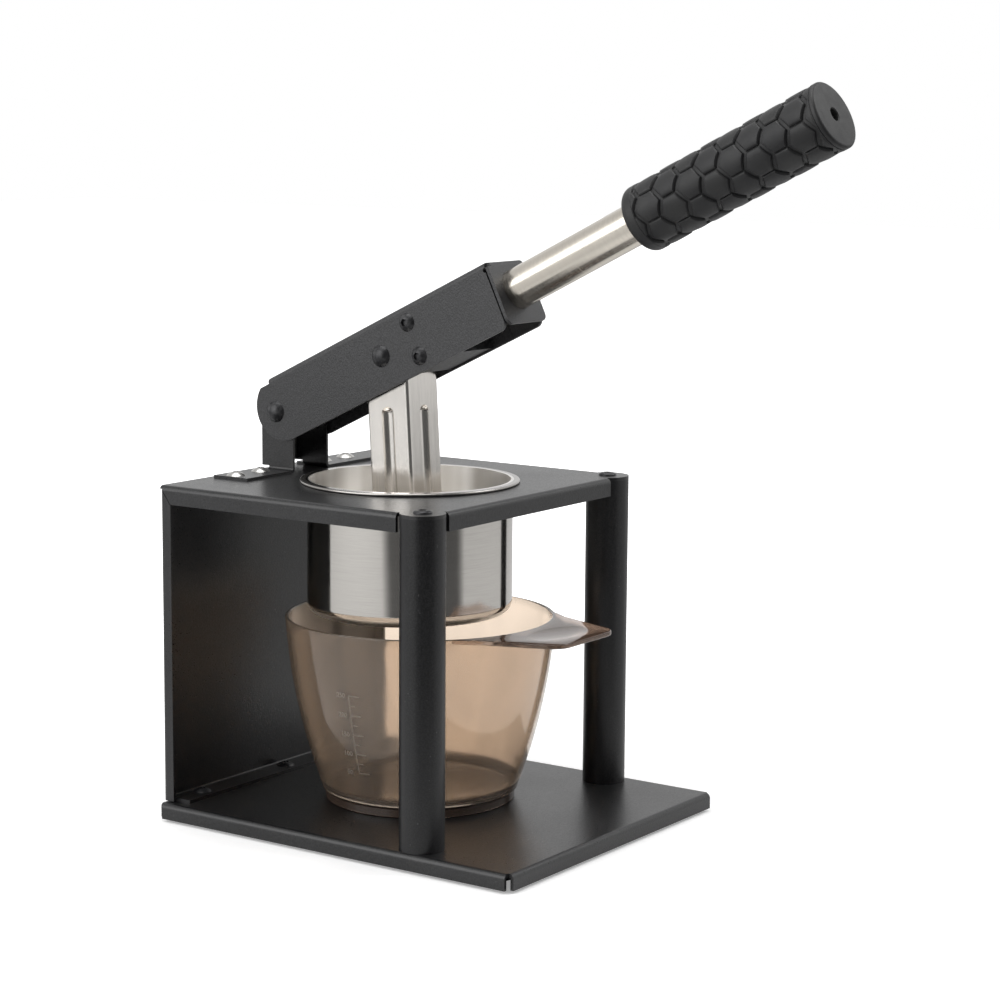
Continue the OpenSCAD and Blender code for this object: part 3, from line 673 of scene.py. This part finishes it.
def dress(piece: bpy.types.Object, material: bpy.types.Material) -> None:
    """Gives the whole of a piece one material.

    Args:
        piece: A new piece or a CAD node.
        material: The finish.
    """
    if not piece.material_slots:
        piece.data.materials.append(material)
    for place in piece.material_slots:
        place.material = material


def arc(centre: Point2, radius: float, start: float, stop: float, count: int = 6) -> List[Point2]:
    """Gives the points of an arc from one angle in degrees to another, in count steps."""
    angles = [math.radians(start + (stop - start) * i / count) for i in range(count + 1)]
    return [(centre[0] + radius * math.cos(a), centre[1] + radius * math.sin(a)) for a in angles]


def middle_of(node: str) -> Vector:
    """Gives the middle of a CAD node's box, in metres."""
    low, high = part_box(node)
    return (low + high) / 2


@dataclass
class LeverLine:
    """The line through the lever's pins and the handle's axis, which tilts from it.

    The hinge is a point in metres, the other sizes are in millimetres and degrees. The line
    rises by angle to the front. The axis passes tube_up above it at the distance clamp from the
    hinge, and rises by tilt more.
    """

    hinge: Vector = field(default_factory=lambda: middle_of("hinge_sleeve"))
    angle: float = 25.7
    clamp: float = 111.0
    tube_up: float = 0.6
    tilt: float = 0.95

    def at(self, along: float) -> Matrix:
        """Gives the place of something turned round the handle's axis.

        Args:
            along: Distance from the hinge pin in millimetres.

        Returns:
            A frame whose Z axis runs out along the handle.
        """
        lever = Matrix.Translation(self.hinge) @ Matrix.Rotation(math.radians(-self.angle), 4, "X")
        clamp = Matrix.Translation(Vector((0.0, -self.clamp, self.tube_up)) * MM)
        rise = Matrix.Rotation(math.radians(-self.tilt), 4, "X")
        step = Matrix.Translation(Vector((0.0, self.clamp - along, 0.0)) * MM)
        return lever @ clamp @ rise @ step @ Matrix.Rotation(math.pi / 2, 4, "X")


@dataclass
class HandleGrip:
    """Rubber sleeve with hexagonal pads between two collars, sizes in millimetres.

    The rows of pads start at first and stand one row apart, phase turns them by a share of a
    pad, and each second row is turned by half a pad more. The near collar is collar long and the
    far one cap long, and the cut rows run land into both. A pad's face is crown higher in its
    middle, and its foot is spread wider than its face.
    """

    line: LeverLine
    start: float = 264.5
    length: float = 128.0
    radius: float = 18.6
    bore: float = 11.53
    vent: float = 3.5
    end_wall: float = 4.0
    groove: float = 1.8
    collar: float = 8.5
    cap: float = 4.0
    count: int = 7
    first: float = 17.6
    row: float = 13.8
    phase: float = 0.682
    gap: float = 2.6
    land: float = 0.35
    crown: float = 0.25
    spread: float = 1.04
    flank: float = 0.45
    edge: float = 0.25
    near_round: float = 4.6
    far_round: float = 1.6
    ring_depth: float = 0.32
    segments: int = 128

    @property
    def core(self) -> float:
        """Radius at the bottom of the grooves."""
        return self.radius - self.groove

    def body(self) -> bpy.types.Object:
        """Turns the sleeve with its collars, its end wall and the vent hole.

        Returns:
            The sleeve about the Z axis.
        """
        big, end, core, cap = self.radius, self.length, self.core, self.length - self.cap
        near, soft, ring = self.near_round, self.far_round, self.radius - self.ring_depth
        wall = end - self.end_wall
        profile = [(self.bore, 0.6)] + arc((big - near, near), near, -90, 0, 12)
        profile += [(big, self.collar - 0.6), (big - 0.4, self.collar - 0.1)]
        profile += [(core + 0.35, self.collar), (core, self.collar + 0.4), (core, cap - 0.4)]
        profile += [(core + 0.35, cap), (big - 0.4, cap + 0.2), (big, cap + 0.5)]
        profile += [(big, end - 3.1), (ring, end - 2.9), (ring, end - 2.6), (big, end - 2.4)]
        profile += arc((big - soft, end - soft), soft, 0, 90, 6)
        profile += [(self.vent + 0.5, end), (self.vent, end - 0.5), (self.vent, wall)]
        profile += [(self.bore, wall), (self.bore, 0.6)]
        return Bench.lathe("grip_body", profile, self.segments)

    def pad(self) -> bpy.types.Object:
        """Models one pad at the top of the sleeve: a hexagon with a slightly crowned face.

        Returns:
            The pad, with the sleeve's axis along Z.
        """
        pitch = 2 * math.pi * self.radius / self.count
        across = pitch - self.gap
        foot = self.core - 1.2
        Bench.clear()
        bpy.ops.mesh.primitive_cylinder_add(
            vertices=6, radius=across / math.sqrt(3) * MM, depth=(self.radius - foot) * MM,
            location=(0, (self.radius + foot) / 2 * MM, 0), rotation=(-math.pi / 2, 0, 0),
        )
        piece = Bench.apply_place(bpy.context.object)
        Bench.select_faces(piece, lambda face: face.normal.y > 0.9)
        Bench.pick(piece)
        bpy.ops.object.mode_set(mode="EDIT")
        bpy.ops.mesh.inset(thickness=self.flank * MM, depth=0.0)
        bpy.ops.mesh.poke()
        bpy.ops.mesh.subdivide(number_cuts=2)
        bpy.ops.object.mode_set(mode="OBJECT")
        outer = across / math.sqrt(3) * MM
        shorten = self.row / (pitch * math.cos(math.radians(30)))
        for vertex in piece.data.vertices:
            if vertex.co.y < self.core * MM:
                vertex.co.x *= self.spread
                vertex.co.z *= self.spread
            elif vertex.co.y > (self.core + 0.2) * MM:
                far = math.hypot(vertex.co.x, vertex.co.z) / outer
                top = self.radius - 0.2 + self.crown * (1 - far * far)
                fall = max(0.0, far - 0.80) * 1.6
                vertex.co.y = math.sqrt((top * MM) ** 2 - vertex.co.x ** 2) - fall * MM
            vertex.co.z *= shorten
        return piece

    def pads(self) -> bpy.types.Object:
        """Copies the pad round and along the sleeve and cuts the first and last row.

        Returns:
            All pads, with the sleeve's axis along Z.
        """
        rows = int((self.length - self.first) // self.row)
        model = self.pad()
        copies = []
        for step in range(-1, rows + 1):
            lift = Matrix.Translation((0, 0, (self.first + step * self.row) * MM))
            for i in range(self.count):
                turn = (i + self.phase + abs(step) % 2 / 2) * 2 * math.pi / self.count
                copies.append(Bench.copy(model, lift @ Matrix.Rotation(turn, 4, "Z")))
        bpy.data.objects.remove(model)
        piece = Bench.join("grip_pads", copies)
        low, high = self.collar - self.land, self.length - self.cap + self.land

        def work() -> None:
            """Cuts off what stands past the collars."""
            for height, up in ((low, -1), (high, 1)):
                bpy.ops.mesh.select_all(action="SELECT")
                bpy.ops.mesh.bisect(
                    plane_co=(0, 0, height * MM), plane_no=(0, 0, up),
                    use_fill=True, clear_outer=True,
                )

        return Bench.close(Bench.edit(piece, work))

    def build(self, finish: bpy.types.Material) -> bpy.types.Object:
        """Builds the grip on the handle tube.

        Args:
            finish: The rubber.

        Returns:
            The finished grip.
        """
        pads = Bench.modify(
            self.pads(), "BEVEL", width=self.edge * MM, segments=3, limit_method="ANGLE",
            angle_limit=math.radians(40),
        )
        piece = Bench.join("hex_pad_grip", [self.body(), pads])
        piece.data.transform(self.line.at(self.start))
        Bench.smooth(piece, 34)
        dress(piece, finish)
        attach(piece, "lever")
        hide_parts("handle_grip")
        return piece


@dataclass
class JuiceBowl:
    """Smoky bowl on a foot ring with a flat handle tab, sizes in millimetres.

    Rim and foot are radii, curve is the radius of the wall's upright curve, and reach is the
    distance of the tab's tip from the bowl's axis. The thumb recess is a dip with the half sizes
    recess, recess_in from the tab's tip and recess_up above the tab. The scale starts at
    scale_low and has a tick every scale_step.
    """

    rim: float = 78.0
    foot: float = 56.0
    height: float = 106.9
    wall: float = 2.0
    curve: float = 345.0
    outer_corner: float = 3.0
    inner_corner: float = 7.0
    lip: float = 0.8
    foot_height: float = 5.0
    reach: float = 116.0
    tip: float = 62.0
    root: float = 106.0
    tab: float = 2.6
    tab_corner: float = 12.0
    recess: Point3 = (34.0, 18.0, 3.2)
    recess_in: float = 21.0
    recess_up: float = 2.3
    mark_angle: float = -176.0
    scale_low: float = 26.0
    scale_step: float = 5.8
    mark_width: float = 0.35
    mark_depth: float = 0.16
    long_tick: float = 6.5
    short_tick: float = 3.6
    figure_size: float = 4.0
    figure_place: Point2 = (-8.4, -1.4)
    wall_steps: int = 22
    segments: int = 192

    @property
    def axis(self) -> Vector:
        """Foot of the bowl's axis, from which the tab reaches to the front of the CAD bowl."""
        low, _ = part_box("juice_bowl")
        return Vector((0.0, low.y + self.reach * MM, low.z))

    def radius_at(self, height: float, inset: float = 0.0) -> float:
        """Gives the radius of the curved wall.

        Args:
            height: Height above the foot.
            inset: Depth below the outer surface.

        Returns:
            The radius at that height.
        """
        low = Vector((self.foot, self.foot_height))
        high = Vector((self.rim, self.height))
        chord = high - low
        way = chord.normalized()
        back = math.sqrt(self.curve ** 2 - (chord.length / 2) ** 2)
        centre = (low + high) / 2 + Vector((-way.y, way.x)) * back
        return centre.x + math.sqrt((self.curve - inset) ** 2 - (height - centre.y) ** 2)

    def climb(self, low: float, inset: float = 0.0) -> List[Point2]:
        """Gives the points of the curved wall up to its rounded lip.

        Args:
            low: Height above the foot from which the wall climbs.
            inset: Depth below the outer surface.

        Returns:
            Points (radius, height), without the lowest one.
        """
        rise = self.height - self.lip - low
        steps = self.wall_steps
        heights = [low + rise * i / steps for i in range(1, steps + 1)]
        return [(self.radius_at(height, inset), height) for height in heights]

    def outside(self) -> bpy.types.Object:
        """Turns the solid outer form with its foot ring and its rounded rim.

        Returns:
            The form about the Z axis.
        """
        low, corner, lip = self.foot_height, self.outer_corner, self.lip
        base = self.radius_at(low + corner)
        ring = self.foot - 1.0
        profile = [(0.0, low - 0.2), (ring - 3.0, low - 0.2), (ring - 2.6, 0.5), (ring - 2.1, 0.0)]
        profile += [(ring - 0.5, 0.0), (ring, 0.5), (ring, low - 0.3)]
        profile += arc((base - corner, low + corner), corner, -62, 0, 6)
        profile += self.climb(low + corner)
        edge, top = profile[-1]
        profile += arc((edge - lip, top), lip, 20, 90, 4)
        profile += [(0.0, self.height)]
        return Bench.lathe("bowl_outside", profile, self.segments)

    def inside(self) -> bpy.types.Object:
        """Turns the tool that hollows the bowl, flared where it leaves the rim.

        Returns:
            The tool about the Z axis.
        """
        corner, floor = self.inner_corner, self.foot_height + self.wall
        base = self.radius_at(floor + corner, self.wall)
        profile = [(0.0, floor)] + arc((base - corner, floor + corner), corner, -88, 0, 8)
        profile += self.climb(floor + corner, self.wall)
        edge, top = profile[-1]
        profile += [(edge + 0.1, top + 0.4), (edge + 0.35, top + 0.68), (edge + 0.75, top + 0.8)]
        profile += [(edge + 1.1, self.height + 0.6), (0.0, self.height + 0.6)]
        return Bench.lathe("bowl_inside", profile, self.segments)

    def tab_outline(self) -> List[Point2]:
        """Gives the plan of the tab: straight flanks, rounded tip and hollow shoulders.

        Returns:
            Points (x, y), once round.
        """
        half, tip, corner = self.root / 2, self.tip / 2, self.tab_corner
        start = -self.rim * 0.70
        side = [(half, start), (half - 3.6, start - 7.5), (half - 9.6, start - 17.0)]
        side += arc((tip - corner, corner - self.reach), corner, -8, -90, 9)
        back = [(-x, y) for x, y in reversed(side)]
        return side + back

    def handle(self) -> bpy.types.Object:
        """Cuts the tab plate, rounds its edges and sinks the thumb recess.

        Returns:
            The tab, beside the bowl's axis.
        """
        piece = Bench.slab("bowl_tab", self.tab_outline(), self.height - self.tab, self.height)
        Bench.modify(
            piece, "BEVEL", width=0.7 * MM, segments=3, limit_method="ANGLE",
            angle_limit=math.radians(60),
        )
        Bench.clear()
        bpy.ops.mesh.primitive_uv_sphere_add(
            segments=96, ring_count=48, radius=1.0,
            location=Vector((0.0, self.recess_in - self.reach, self.height + self.recess_up)) * MM,
            scale=Vector(self.recess) * MM,
        )
        return Bench.combine(piece, Bench.apply_place(bpy.context.object), "DIFFERENCE")

    def marks(self) -> List[bpy.types.Object]:
        """Models the scale flat: an upright line, ticks and plain numbers.

        Returns:
            The marks in the XY plane.
        """
        pieces = []
        low, step, width = self.scale_low, self.scale_step, self.mark_width
        boxes = [((0.0, low + 4 * step), (width, 8 * step))]
        for i in range(9):
            tick = self.short_tick if i % 2 else self.long_tick
            boxes.append(((tick / 2, low + step * i), (tick, width)))
        for centre, size in boxes:
            Bench.clear()
            place = (centre[0] * MM, centre[1] * MM, 0)
            bpy.ops.mesh.primitive_plane_add(size=1.0, location=place)
            plate = bpy.context.object
            plate.scale = (size[0] * MM, size[1] * MM, 1.0)
            Bench.edit(Bench.apply_place(plate), lambda: bpy.ops.mesh.subdivide(number_cuts=6))
            pieces.append(plate)
        for i, word in enumerate(("50", "100", "150", "200", "250")):
            Bench.clear()
            left, up = self.figure_place
            bpy.ops.object.text_add(location=(left * MM, (low + up + 2 * step * i) * MM, 0))
            text = bpy.context.object
            text.data.body = word
            text.data.size = self.figure_size * MM
            text.data.resolution_u = 3
            bpy.ops.object.convert(target="MESH")
            pieces.append(Bench.apply_place(bpy.context.object))
        return pieces

    def lay(self, piece: bpy.types.Object) -> None:
        """Lays flat marks on the outer wall.

        Args:
            piece: The marks, drawn in the XY plane.
        """
        for vertex in piece.data.vertices:
            height = vertex.co.y / MM
            radius = self.radius_at(height) + 0.03 - vertex.co.z / MM
            angle = math.radians(self.mark_angle) + vertex.co.x / MM / radius
            vertex.co = Vector((radius * math.cos(angle), radius * math.sin(angle), height)) * MM

    def scale(self, finish: bpy.types.Material) -> bpy.types.Object:
        """Builds the moulded scale.

        Args:
            finish: The frosted plastic.

        Returns:
            The scale on the bowl's wall.
        """
        piece = Bench.join("bowl_scale", self.marks())
        Bench.modify(piece, "SOLIDIFY", thickness=self.mark_depth * MM, offset=0.0)
        self.lay(piece)
        Bench.close(piece)
        piece.data.transform(Matrix.Translation(self.axis))
        dress(piece, finish)
        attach(piece, "bowl")
        return piece

    def deepen(
        self, piece: bpy.types.Object, deep: bpy.types.Material, ring_painted_shade: bpy.types.Material
    ) -> None:
        """Gives the bowl's tab, where its plastic is thick, and its foot ring, which is painted
        darker as painted shade, their own finishes.

        Args:
            piece: The bowl about its own axis.
            deep: The finish of the tab.
            ring_painted_shade: The finish of the foot ring.
        """
        piece.data.materials.append(deep)
        piece.data.materials.append(ring_painted_shade)
        for face in piece.data.polygons:
            centre = face.center / MM
            out = math.hypot(centre.x, centre.y)
            high = centre.z > self.height - self.tab - 0.1
            on_tab = high and out > self.radius_at(centre.z) + 0.3
            # Painted shade: the foot ring gets the darker plastic.
            on_ring = centre.z < self.foot_height + 0.6
            face.material_index = 1 if on_tab else 2 if on_ring else 0

    def build(
        self, finish: bpy.types.Material, deep: bpy.types.Material, ring_painted_shade: bpy.types.Material
    ) -> bpy.types.Object:
        """Builds the bowl.

        Args:
            finish: The smoky plastic.
            deep: The same plastic where it is thick.
            ring_painted_shade: The same plastic in the shade of the foot ring.

        Returns:
            The finished bowl.
        """
        piece = Bench.combine(self.outside(), self.handle(), "UNION")
        piece = Bench.combine(piece, self.inside(), "DIFFERENCE")
        piece.name = piece.data.name = "smoky_bowl"
        dress(piece, finish)
        self.deepen(piece, deep, ring_painted_shade)
        piece.data.transform(Matrix.Translation(self.axis))
        Bench.smooth(piece, 30)
        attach(piece, "bowl")
        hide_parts("juice_bowl")
        return piece


@dataclass
class PostScrews:
    """Two low button-head screws that hold the top plate to the posts, sizes in millimetres.

    Head, flat, shank and socket are radii, and cad_rise is the height of the CAD's heads.
    """

    head: float = 5.25
    rise: float = 2.0
    rim: float = 0.45
    flat: float = 3.0
    shank: float = 2.97
    length: float = 12.0
    socket: float = 2.1
    depth: float = 1.4
    cad_rise: float = 3.0
    segments: int = 96

    def screw(self) -> bpy.types.Object:
        """Turns one screw with its seat at z = 0 and sinks its hexagon socket.

        Returns:
            The screw about the Z axis.
        """
        profile = [(0.0, -self.length), (self.shank - 0.5, -self.length)]
        profile += [(self.shank, 0.5 - self.length), (self.shank, 0.0)]
        profile += [(self.head - 0.15, 0.0), (self.head, 0.15)]
        for i in range(9):
            turn = math.radians(90 * i / 8)
            radius = self.flat + (self.head - self.flat) * math.cos(turn)
            profile.append((radius, self.rim + (self.rise - self.rim) * math.sin(turn)))
        profile += [(self.socket + 0.35, self.rise), (self.socket, self.rise - 0.2)]
        profile += [(0.0, self.rise - 0.2)]
        piece = Bench.lathe("post_screw", profile, self.segments)
        Bench.clear()
        bpy.ops.mesh.primitive_cylinder_add(
            vertices=6, radius=self.socket * MM, depth=2 * self.depth * MM,
            location=(0, 0, self.rise * MM),
        )
        return Bench.combine(piece, Bench.apply_place(bpy.context.object), "DIFFERENCE")

    def build(self, finish: bpy.types.Material) -> bpy.types.Object:
        """Builds both screws where the CAD node has them.

        Args:
            finish: The blackened steel.

        Returns:
            The finished screws.
        """
        low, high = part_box("post_top_screws")
        model = self.screw()
        copies = []
        for x in (low.x + self.head * MM, high.x - self.head * MM):
            seat = Vector((x, (low.y + high.y) / 2, high.z - self.cad_rise * MM))
            copies.append(Bench.copy(model, Matrix.Translation(seat)))
        bpy.data.objects.remove(model)
        piece = Bench.join("low_post_screws", copies)
        Bench.smooth(piece, 34)
        dress(piece, finish)
        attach(piece, "frame")
        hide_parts("post_top_screws")
        return piece


@dataclass
class Finishes:
    """One finish for each material slot, with the tube's and the stem's angles in degrees."""

    tube_angle: float = 26.65
    stem_lean: float = 3.6

    def palette(self) -> Dict[str, bpy.types.Material]:
        """Builds the finishes.

        Returns:
            The finish of each slot, by the slot's name.
        """
        chosen = {
            "frame_black": PowderCoat("frame_powder_coat"),
            "post_black": PowderCoat(
                "post_powder_coat", colour=(0.009, 0.009, 0.010), worn=(0.012, 0.012, 0.013),
                roughness=0.36, gloss=0.40, grain=0.8 * MM, relief=0.08 * MM,
            ),
            "lever_black": PowderCoat(
                "lever_powder_coat", colour=(0.024, 0.024, 0.026), worn=(0.030, 0.030, 0.032),
                roughness=0.44, grain=0.9 * MM, relief=0.18 * MM,
            ),
            "screw_black": BlackOxide("black_oxide"),
            "zinc": Steel("zinc_plate", Grain.TUMBLED, (0.62, 0.63, 0.64), 0.34, 0.16),
            "bright_screw": Steel("nickel_plate", Grain.TUMBLED, (0.60, 0.59, 0.57), 0.28, 0.14),
            "cup_steel": Steel(
                "polished_cup_steel", Grain.ROUND_UPRIGHT, (0.66, 0.635, 0.60),
                roughness=0.11, streak=0.05, relief=0.003 * MM,
                satin_within=58.6 * MM, rim_beyond=59.4 * MM, axis=tuple(middle_of("juice_cup")),
            ),
            "tube_steel": Steel(
                "brushed_tube_steel", Grain.ROUND_LEVER, (0.66, 0.615, 0.545), 0.22, 0.16,
                turn=-self.tube_angle,
            ),
            "stem_steel": Steel(
                "satin_stem_steel", Grain.DOWN_STEM, (0.88, 0.845, 0.80), 0.20, 0.14,
                turn=-self.stem_lean,
            ),
            "block_black": BlackOxide(
                "blackened_block", colour=(0.012, 0.012, 0.013), roughness=0.42
            ),
            "grip_rubber": Rubber("grip_rubber"),
            "foot_rubber": Rubber("foot_rubber", roughness=0.62),
            "bowl_smoke": SmokyPlastic("smoky_plastic"),
        }
        return {slot: finish.build() for slot, finish in chosen.items()}

    def refinish(self, palette: Dict[str, bpy.types.Material]) -> None:
        """Gives every CAD node the finish of its slot.

        Args:
            palette: The finishes by slot.
        """
        for row in frame["record"]["subparts"]:
            dress(frame["nodes"][row["node"]], palette[row["material_slot"]])
            log.info("refinished %s as %s", row["node"], row["material_slot"])


@dataclass(frozen=True)
class Lamp:
    """A square soft lamp: its place and width in metres and its power in watts."""

    name: str
    place: Point3
    width: float
    power: float

    def build(self, target: Vector) -> None:
        """Hangs the lamp so that it faces a point.

        Args:
            target: The point in metres.
        """
        data = bpy.data.lights.new(self.name, "AREA")
        data.size, data.energy = self.width, self.power
        lamp = bpy.data.objects.new(self.name, data)
        lamp.location = Vector(self.place)
        lamp.rotation_euler = (target - lamp.location).to_track_quat("-Z", "Y").to_euler()
        bpy.context.scene.collection.objects.link(lamp)


@dataclass
class Studio:
    """Pale floor, soft light and the photograph's camera, in metres and degrees.

    The camera stands aside from the press's middle plane, in_front of the base plate and above
    the floor. The studio is dark in the direction dark_side, over the sector whose edges are two
    cosines, so that polished steel has something dark to mirror. Gloss sees wall_light, less by
    ceiling_loss overhead and by dark_loss in the sector, and everything else sees room_light.
    """

    aside: float = -1.1944
    in_front: float = 0.74777
    above: float = 0.4084
    azimuth: float = -55.25
    elevation: float = 8.59
    roll: float = 0.42
    dark_side: Point2 = (-0.645, -0.763)
    sector: Point2 = (0.57, 0.79)
    focal_pixels: float = 2620.2
    frame_pixels: float = 1000.0
    sensor: float = 36.0
    target: Point3 = (0.0, 0.05, 0.2)
    lamps: Tuple[Lamp, ...] = (
        Lamp("key_left", (-1.7, 0.8, 1.1), 1.9, 25),
        Lamp("fill_right", (1.3, -1.1, 1.8), 1.0, 13),
        Lamp("top", (0.0, 0.2, 2.0), 1.4, 20),
    )
    wall_light: float = 0.95
    ceiling_loss: float = 0.35
    dark_loss: float = 0.87
    room_light: float = 0.46
    floor_size: float = 14.0
    floor_drop: float = 0.0002
    floor_colour: Colour = (0.86, 0.86, 0.86)
    floor_painted_dark_reflection: Colour = (0.06, 0.06, 0.06)
    floor_glow: float = 0.30

    def camera(self) -> None:
        """Sets up the camera at the photograph's viewpoint."""
        az, el, roll = (math.radians(v) for v in (self.azimuth, self.elevation, self.roll))
        back = Vector((math.sin(az) * math.cos(el), -math.cos(az) * math.cos(el), math.sin(el)))
        right = (-back).cross(Vector((0, 0, 1))).normalized()
        up = right.cross(-back)
        across = right * math.cos(roll) + up * math.sin(roll)
        upward = up * math.cos(roll) - right * math.sin(roll)
        data = bpy.data.cameras.new("photo_camera")
        data.sensor_width = self.sensor
        data.lens = self.focal_pixels / self.frame_pixels * data.sensor_width
        data.clip_start, data.clip_end = 0.05, 50.0
        camera = bpy.data.objects.new("photo_camera", data)
        turn = Matrix((across, upward, back)).transposed().to_4x4()
        base_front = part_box("base_plate")[0].y
        eye = Vector((self.aside, base_front - self.in_front, self.above))
        camera.matrix_world = Matrix.Translation(eye) @ turn
        bpy.context.scene.collection.objects.link(camera)
        bpy.context.scene.camera = camera

    def world(self) -> None:
        """Makes the white studio with its dark sector, which gloss mirrors, and a soft light."""
        world = bpy.data.worlds.new("studio")
        bpy.context.scene.world = world
        tree = Tree(world)
        seen, through, gloss = tree.ray("Camera"), tree.ray("Transmission"), tree.ray("Glossy")
        way = tree.add("ShaderNodeTexCoord", output="Generated")
        across, along, up = (
            tree.add("ShaderNodeSeparateXYZ", inputs={0: way}, output=axis) for axis in "XYZ"
        )
        white = tree.maths("MAXIMUM", seen, through)
        bearing = across * self.dark_side[0] + along * self.dark_side[1]
        ahead = bearing.between(*self.sector)
        walls = self.wall_light - up.between(0.25, 0.75) * self.ceiling_loss
        mirrored = gloss * walls * (1.0 - ahead * self.dark_loss)
        level = white + (1.0 - white) * (mirrored + (1.0 - gloss) * self.room_light)
        shade = tree.add("ShaderNodeBackground", inputs={"Color": (1, 1, 1, 1), "Strength": level})
        tree.add("ShaderNodeOutputWorld", inputs={"Surface": shade})

    def floor(self) -> None:
        """Lays the pale floor, which keeps the shadow and, to glossy rays away from the press, is
        painted dark as a painted reflection, most in the studio's dark sector.
        """
        Bench.clear()
        below = (0, 0, -self.floor_drop)
        bpy.ops.mesh.primitive_plane_add(size=self.floor_size, location=below)
        floor = Bench.apply_place(bpy.context.object)
        floor.name = "studio_floor"
        material = bpy.data.materials.new("studio_floor")
        tree = Tree(material)
        seen, through, gloss = tree.ray("Camera"), tree.ray("Transmission"), tree.ray("Glossy")
        own = tree.add("ShaderNodeTexCoord", output="Object")
        length = tree.length(own)
        bearing = tree.add("ShaderNodeVectorMath", {"operation": "NORMALIZE"}, {0: own})
        ahead = tree.add(
            "ShaderNodeVectorMath", {"operation": "DOT_PRODUCT"},
            {0: bearing, 1: (*self.dark_side, 0.0)}, "Value",
        ).between(*self.sector)
        white = tree.maths("MAXIMUM", seen, through)
        glow = white * (self.floor_glow + length.between(0.20, 0.75) * (1.0 - self.floor_glow))
        # Painted reflection: to glossy rays the floor turns dark away from the press, fully in the
        # dark sector and partly elsewhere.
        dark = gloss * tree.maths("MAXIMUM", ahead, 0.35) * length.between(0.20, 0.50)
        tree.surface(
            Base_Color=tree.mix(dark, self.floor_colour, self.floor_painted_dark_reflection), Roughness=0.9,
            Emission_Color=tree.mix(glow, (0.0, 0.0, 0.0), (1.0, 1.0, 1.0)), Emission_Strength=1.0,
        )
        dress(floor, material)

    def build(self) -> None:
        """Sets up the camera, the light and the floor."""
        self.camera()
        for lamp in self.lamps:
            lamp.build(Vector(self.target))
        self.world()
        self.floor()
        bpy.context.scene.view_settings.view_transform = "Standard"


def main() -> None:
    """Builds the press in order and reports each piece."""
    finishes = Finishes()
    palette = finishes.palette()
    finishes.refinish(palette)
    bowl = JuiceBowl()
    deep = SmokyPlastic("deep_smoky_plastic", (0.33, 0.22, 0.16), 0.82).build()
    # Painted shade: the same plastic, darker, for the foot ring.
    ring_painted_shade = SmokyPlastic("shaded_smoky_plastic", (0.10, 0.07, 0.055), 0.50).build()
    pieces = [
        HandleGrip(LeverLine()).build(palette["grip_rubber"]),
        PostScrews().build(palette["screw_black"]),
        bowl.build(palette["bowl_smoke"], deep, ring_painted_shade),
        bowl.scale(FrostedMark("frosted_mark").build()),
    ]
    for piece in pieces:
        log.info("built %s with %d faces", piece.name, len(piece.data.polygons))
    Studio().build()


if __name__ == "__main__":
    main()
